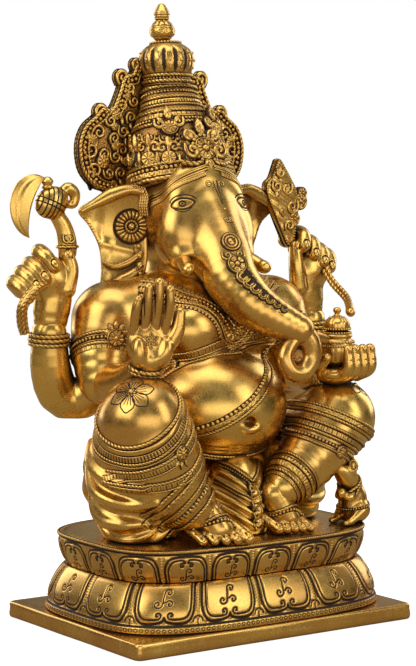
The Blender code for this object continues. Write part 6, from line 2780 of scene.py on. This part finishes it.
def make_bowl():
    foot = vec(90, -62, 146)
    bowl = Figure()
    profile = [
        (9.5, 20), (12.2, 19.2), (13, 17.4), (12.0, 15.2), (14.6, 11.6), (15.7, 7), (15.2, 2.4),
        (12.6, -3.4), (9, -6.6), (6, -9),
    ]

    def ribs(a, z, r):
        return -0.6 * (
            1 - np.abs(np.sin(a * 8)) ** 0.6
        ) * ((z > -4) & (z < 8)) - 0.5 * np.exp(-(((z - 9.4) / 0.5) ** 2))

    turned(bowl, profile, foot, 0, 1.0, 96, ribs, 0.6)
    for height, radius, size in ((12.6, 14.2, 1.3), (20.2, 11.6, 1.1), (9.2, 15.6, 1.0)):
        count = int(TAU * radius / (size * 2.15))
        ring = np.arange(count) * TAU / count
        balls(
            bowl,
            foot + np.stack([radius * np.cos(ring), radius * np.sin(ring), np.full(count, height)], axis=1),
            size,
        )
    bowl.piece("sweets_bowl_casting", CHASED, "polished_brass", ["sweets_bowl"])
    lid = Figure()
    foot = vec(90, -62, 166.4)
    profile = [
        (0, 21.5), (2.4, 21), (3.6, 19.2), (3.0, 17.4), (2.2, 15.8), (4.2, 13.9), (8, 12), (10.6, 9.4),
        (11.2, 6), (10.8, 3), (8, 0.3),
    ]
    turned(
        lid,
        profile,
        foot,
        0,
        1.0,
        80,
        lambda a,
        z,
        r: -0.55 * (1 - np.abs(np.sin(a * 7)) ** 0.6) * (z < 12),
        0.5,
    )
    for height, radius, size in ((12.6, 6.6, 0.9), (3.2, 11.3, 1.1)):
        count = int(TAU * radius / (size * 2.15))
        ring = np.arange(count) * TAU / count
        balls(
            lid,
            foot + np.stack([radius * np.cos(ring), radius * np.sin(ring), np.full(count, height)], axis=1),
            size,
        )
    lid.piece("bowl_lid_casting", CHASED, "polished_brass", ["bowl_lid"])


make_bowl()


def make_mouse():
    clay = Clay((78, -86, -2), (132, -34, 66), 0.55)
    clay.ball((111, -58, 21), (12.5, 12.5, 19), turn(0, -15, 0))
    clay.ball((112, -58, 10), (13, 14, 10.5), blend=5)
    clay.limb(
        [(106, -61, 34, 8.3), (98, -65, 43, 9.2), (91, -67.5, 47.5, 6.4), (86, -69, 49.5, 3.4)], blend=4
    )
    for side in (-1, 1):
        clay.ball((103 + side * 2, -65 + side * 7, 52), (5.4, 2.2, 6.4), turn(side * 20, 25, 0), blend=1.5)
        clay.ball(
            (101.6 + side * 2, -66.2 + side * 7, 52),
            (3.4, 1.6, 4.2),
            turn(side * 20, 25, 0),
            blend=0.8,
            carve=True,
        )
        clay.limb(
            [(106, -58 + side * 8, 29, 4.4), (99, -62 + side * 8, 24, 3.6), (94, -64 + side * 3, 27, 3.0)],
            blend=1.6,
        )
        clay.limb(
            [
                (113, -58 + side * 10, 12, 7.4), (104, -60 + side * 11, 7, 4.4),
                (97, -62 + side * 10, 3.4, 3.4), (92, -63 + side * 10, 2.6, 2.6),
            ],
            blend=2.5,
        )
        clay.ball((94 + 1.5, -66.5 + side * 6.6, 47), (1.9, 1.3, 1.5), blend=0.5)
    clay.limb([(121, -54, 9, 4), (126, -47, 5, 3.2), (122, -40, 3.6, 2.8), (114, -38, 3.2, 2.2)], blend=2)
    clay.ball((92, -66, 28), (4.8, 4.8, 4.8), blend=0.8)
    rough = rough_surface(clay)
    for index in range(7):
        z = 10 + index * 3.6
        engrave(
            clay,
            rough,
            [(122 - index * 0.6, -64, z), (123.5 - index * 0.6, -58, z + 1.5), (122 - index * 0.6, -51, z)],
            0.7,
            0.4,
        )
    clay.above(0.0)
    surface = cast(clay, "mouse_casting", ["mouse"], 1)
    collar = Figure()
    for offset, size in ((0, 1.4), (3.0, 1.2)):
        path, normals = surface.ring(
            vec(105, -62, 36) - vec(-0.5, -0.25, 0.8) * offset, (-0.6, -0.3, 0.75), 15, 0.6
        )
        rope(collar, path, size, True, normals)
    path, normals = surface.ring(vec(111.5, -58, 15), (-0.2, 0, 1), 18, 0.6)
    bead_row(collar, path, normals, 1.0, 2.3, True)
    for side in (-1, 1):
        place, normal = surface.snap((95, -67 + side * 7, 47))
        balls(collar, place + normal * 0.1, 1.2)
    collar.piece("mouse_collar", CHASED, "antiqued_brass")


make_mouse()


# ---------------------------------------------------------------- fasteners keep their CAD shape

for name, obj in ((o.name, o) for o in bpy.data.objects if o.type == "MESH"):
    if name.startswith(("tie_screw", "mouse_screw", "stud_nut", "stud_washer", "figure_stud")):
        for index in range(len(obj.material_slots)):
            obj.material_slots[index].material = ZINC


# ---------------------------------------------------------------- studio: floor, light and camera


def make_floor():
    """Pale paper to the camera; the metal sees it as a dim table, as it does in a studio with flags."""
    bpy.ops.mesh.primitive_plane_add(size=3.0, location=(0, 0, PLINTH_LOW[2] * MM))
    floor = bpy.context.object
    floor.name = "studio_floor"
    n = Nodes("studio_paper")
    paper = n.add("ShaderNodeBsdfPrincipled", Roughness=0.9)
    paper.inputs["Base Color"].default_value = (0.55, 0.55, 0.55, 1.0)
    paper.inputs["Emission Color"].default_value = (1.0, 1.0, 1.0, 1.0)
    paper.inputs["Emission Strength"].default_value = 0.78
    table = n.add("ShaderNodeBsdfDiffuse")
    table.inputs["Color"].default_value = (0.36, 0.30, 0.225, 1.0)
    path = n.add("ShaderNodeLightPath")
    mix = n.add("ShaderNodeMixShader")
    n.link(path.outputs["Is Camera Ray"], mix.inputs[0])
    n.link(table.outputs[0], mix.inputs[1])
    n.link(paper.outputs[0], mix.inputs[2])
    output = n.add("ShaderNodeOutputMaterial")
    n.link(mix.outputs[0], output.inputs["Surface"])
    floor.data.materials.append(n.material)


def make_world():
    """White to the camera; to the metal, a studio with dark walls, a bright ceiling and side panels."""
    world = bpy.data.worlds.new("studio")
    bpy.context.scene.world = world
    world.use_nodes = True
    tree = world.node_tree
    tree.nodes.clear()
    n = Nodes.__new__(Nodes)
    n.tree = tree
    path = n.add("ShaderNodeLightPath")
    place = n.add("ShaderNodeTexCoord").outputs["Generated"]
    split = n.add("ShaderNodeSeparateXYZ")
    n.link(place, split.inputs[0])
    height = n.ramp(split.outputs["Z"], -0.15, 0.75)
    room = n.mix(height, (0.21, 0.165, 0.115, 1.0), (0.44, 0.43, 0.39, 1.0))
    patch = n.ramp(n.noise(place, 2.6, 2.0), 0.46, 0.60)
    room = n.mix(patch, room, (0.035, 0.045, 0.025, 1.0))
    glow = n.add("ShaderNodeBackground", Strength=1.0)
    n.link(room, glow.inputs["Color"])
    white = n.add("ShaderNodeBackground", Strength=1.0)
    white.inputs["Color"].default_value = (1.0, 1.0, 1.0, 1.0)
    mix = n.add("ShaderNodeMixShader")
    n.link(path.outputs["Is Camera Ray"], mix.inputs[0])
    n.link(glow.outputs[0], mix.inputs[1])
    n.link(white.outputs[0], mix.inputs[2])
    output = n.add("ShaderNodeOutputWorld")
    n.link(mix.outputs[0], output.inputs["Surface"])


def softbox(name, place, aim, size, power, colour=(1.0, 1.0, 1.0)):
    light = bpy.data.lights.new(name, "AREA")
    light.shape = "RECTANGLE"
    light.size, light.size_y = size
    light.energy = power
    light.color = colour
    obj = bpy.data.objects.new(name, light)
    obj.location = place
    obj.rotation_mode = "QUATERNION"
    obj.rotation_quaternion = (Vector(aim) - Vector(place)).to_track_quat("-Z", "Y")
    bpy.context.scene.collection.objects.link(obj)


CAMERA_AZIMUTH = math.radians(-34.7)
CAMERA_ELEVATION = math.radians(4.56)
CAMERA_DISTANCE = 1.8
CAMERA_LENS = 113.8
AIM_ASIDE, AIM_HEIGHT = -0.0011, 0.2467


def camera_axes():
    back = Vector(
        (
            math.sin(CAMERA_AZIMUTH) * math.cos(CAMERA_ELEVATION),
            -math.cos(CAMERA_AZIMUTH) * math.cos(CAMERA_ELEVATION),
            math.sin(CAMERA_ELEVATION),
        )
    )
    right = Vector((math.cos(CAMERA_AZIMUTH), math.sin(CAMERA_AZIMUTH), 0))
    return back, right, right.cross(-back) * -1


def make_camera():
    back, right, _ = camera_axes()
    data = bpy.data.cameras.new("camera")
    data.sensor_width = 36.0
    data.lens = CAMERA_LENS
    camera = bpy.data.objects.new("camera", data)
    camera.location = right * AIM_ASIDE + Vector((0, 0, AIM_HEIGHT)) + back * CAMERA_DISTANCE
    camera.rotation_mode = "QUATERNION"
    camera.rotation_quaternion = (-back).to_track_quat("-Z", "Y")
    bpy.context.scene.collection.objects.link(camera)
    bpy.context.scene.camera = camera


def from_camera(right_by, up_by, back_by):
    back, right, _ = camera_axes()
    return right * right_by + Vector((0, 0, up_by)) + Vector((back.x, back.y, 0)).normalized() * back_by


def make_grade():
    """Plain display colours, so that the brass keeps its saturation in the highlights."""
    bpy.context.scene.view_settings.view_transform = "Standard"


def make_lights():
    middle = (0, 0, 0.28)
    softbox("key_left", from_camera(-1.15, 1.15, 1.0), middle, (1.3, 1.3), 15, (1.0, 0.98, 0.94))
    softbox("fill_right", from_camera(1.35, 0.85, 0.75), middle, (0.6, 1.3), 6.5, (1.0, 0.98, 0.95))
    softbox("top", from_camera(0.0, 1.75, 0.15), middle, (1.5, 1.1), 11)
    softbox("front_low", from_camera(0.65, 0.30, 2.1), middle, (2.4, 1.2), 15.0, (1.0, 0.97, 0.92))
    softbox("back_left", from_camera(-1.2, 0.7, -1.1), middle, (0.8, 1.2), 7)
    softbox("back_right", from_camera(1.2, 0.8, -1.1), middle, (0.8, 1.2), 7)


make_grade()
make_floor()
make_world()
make_camera()
make_lights()
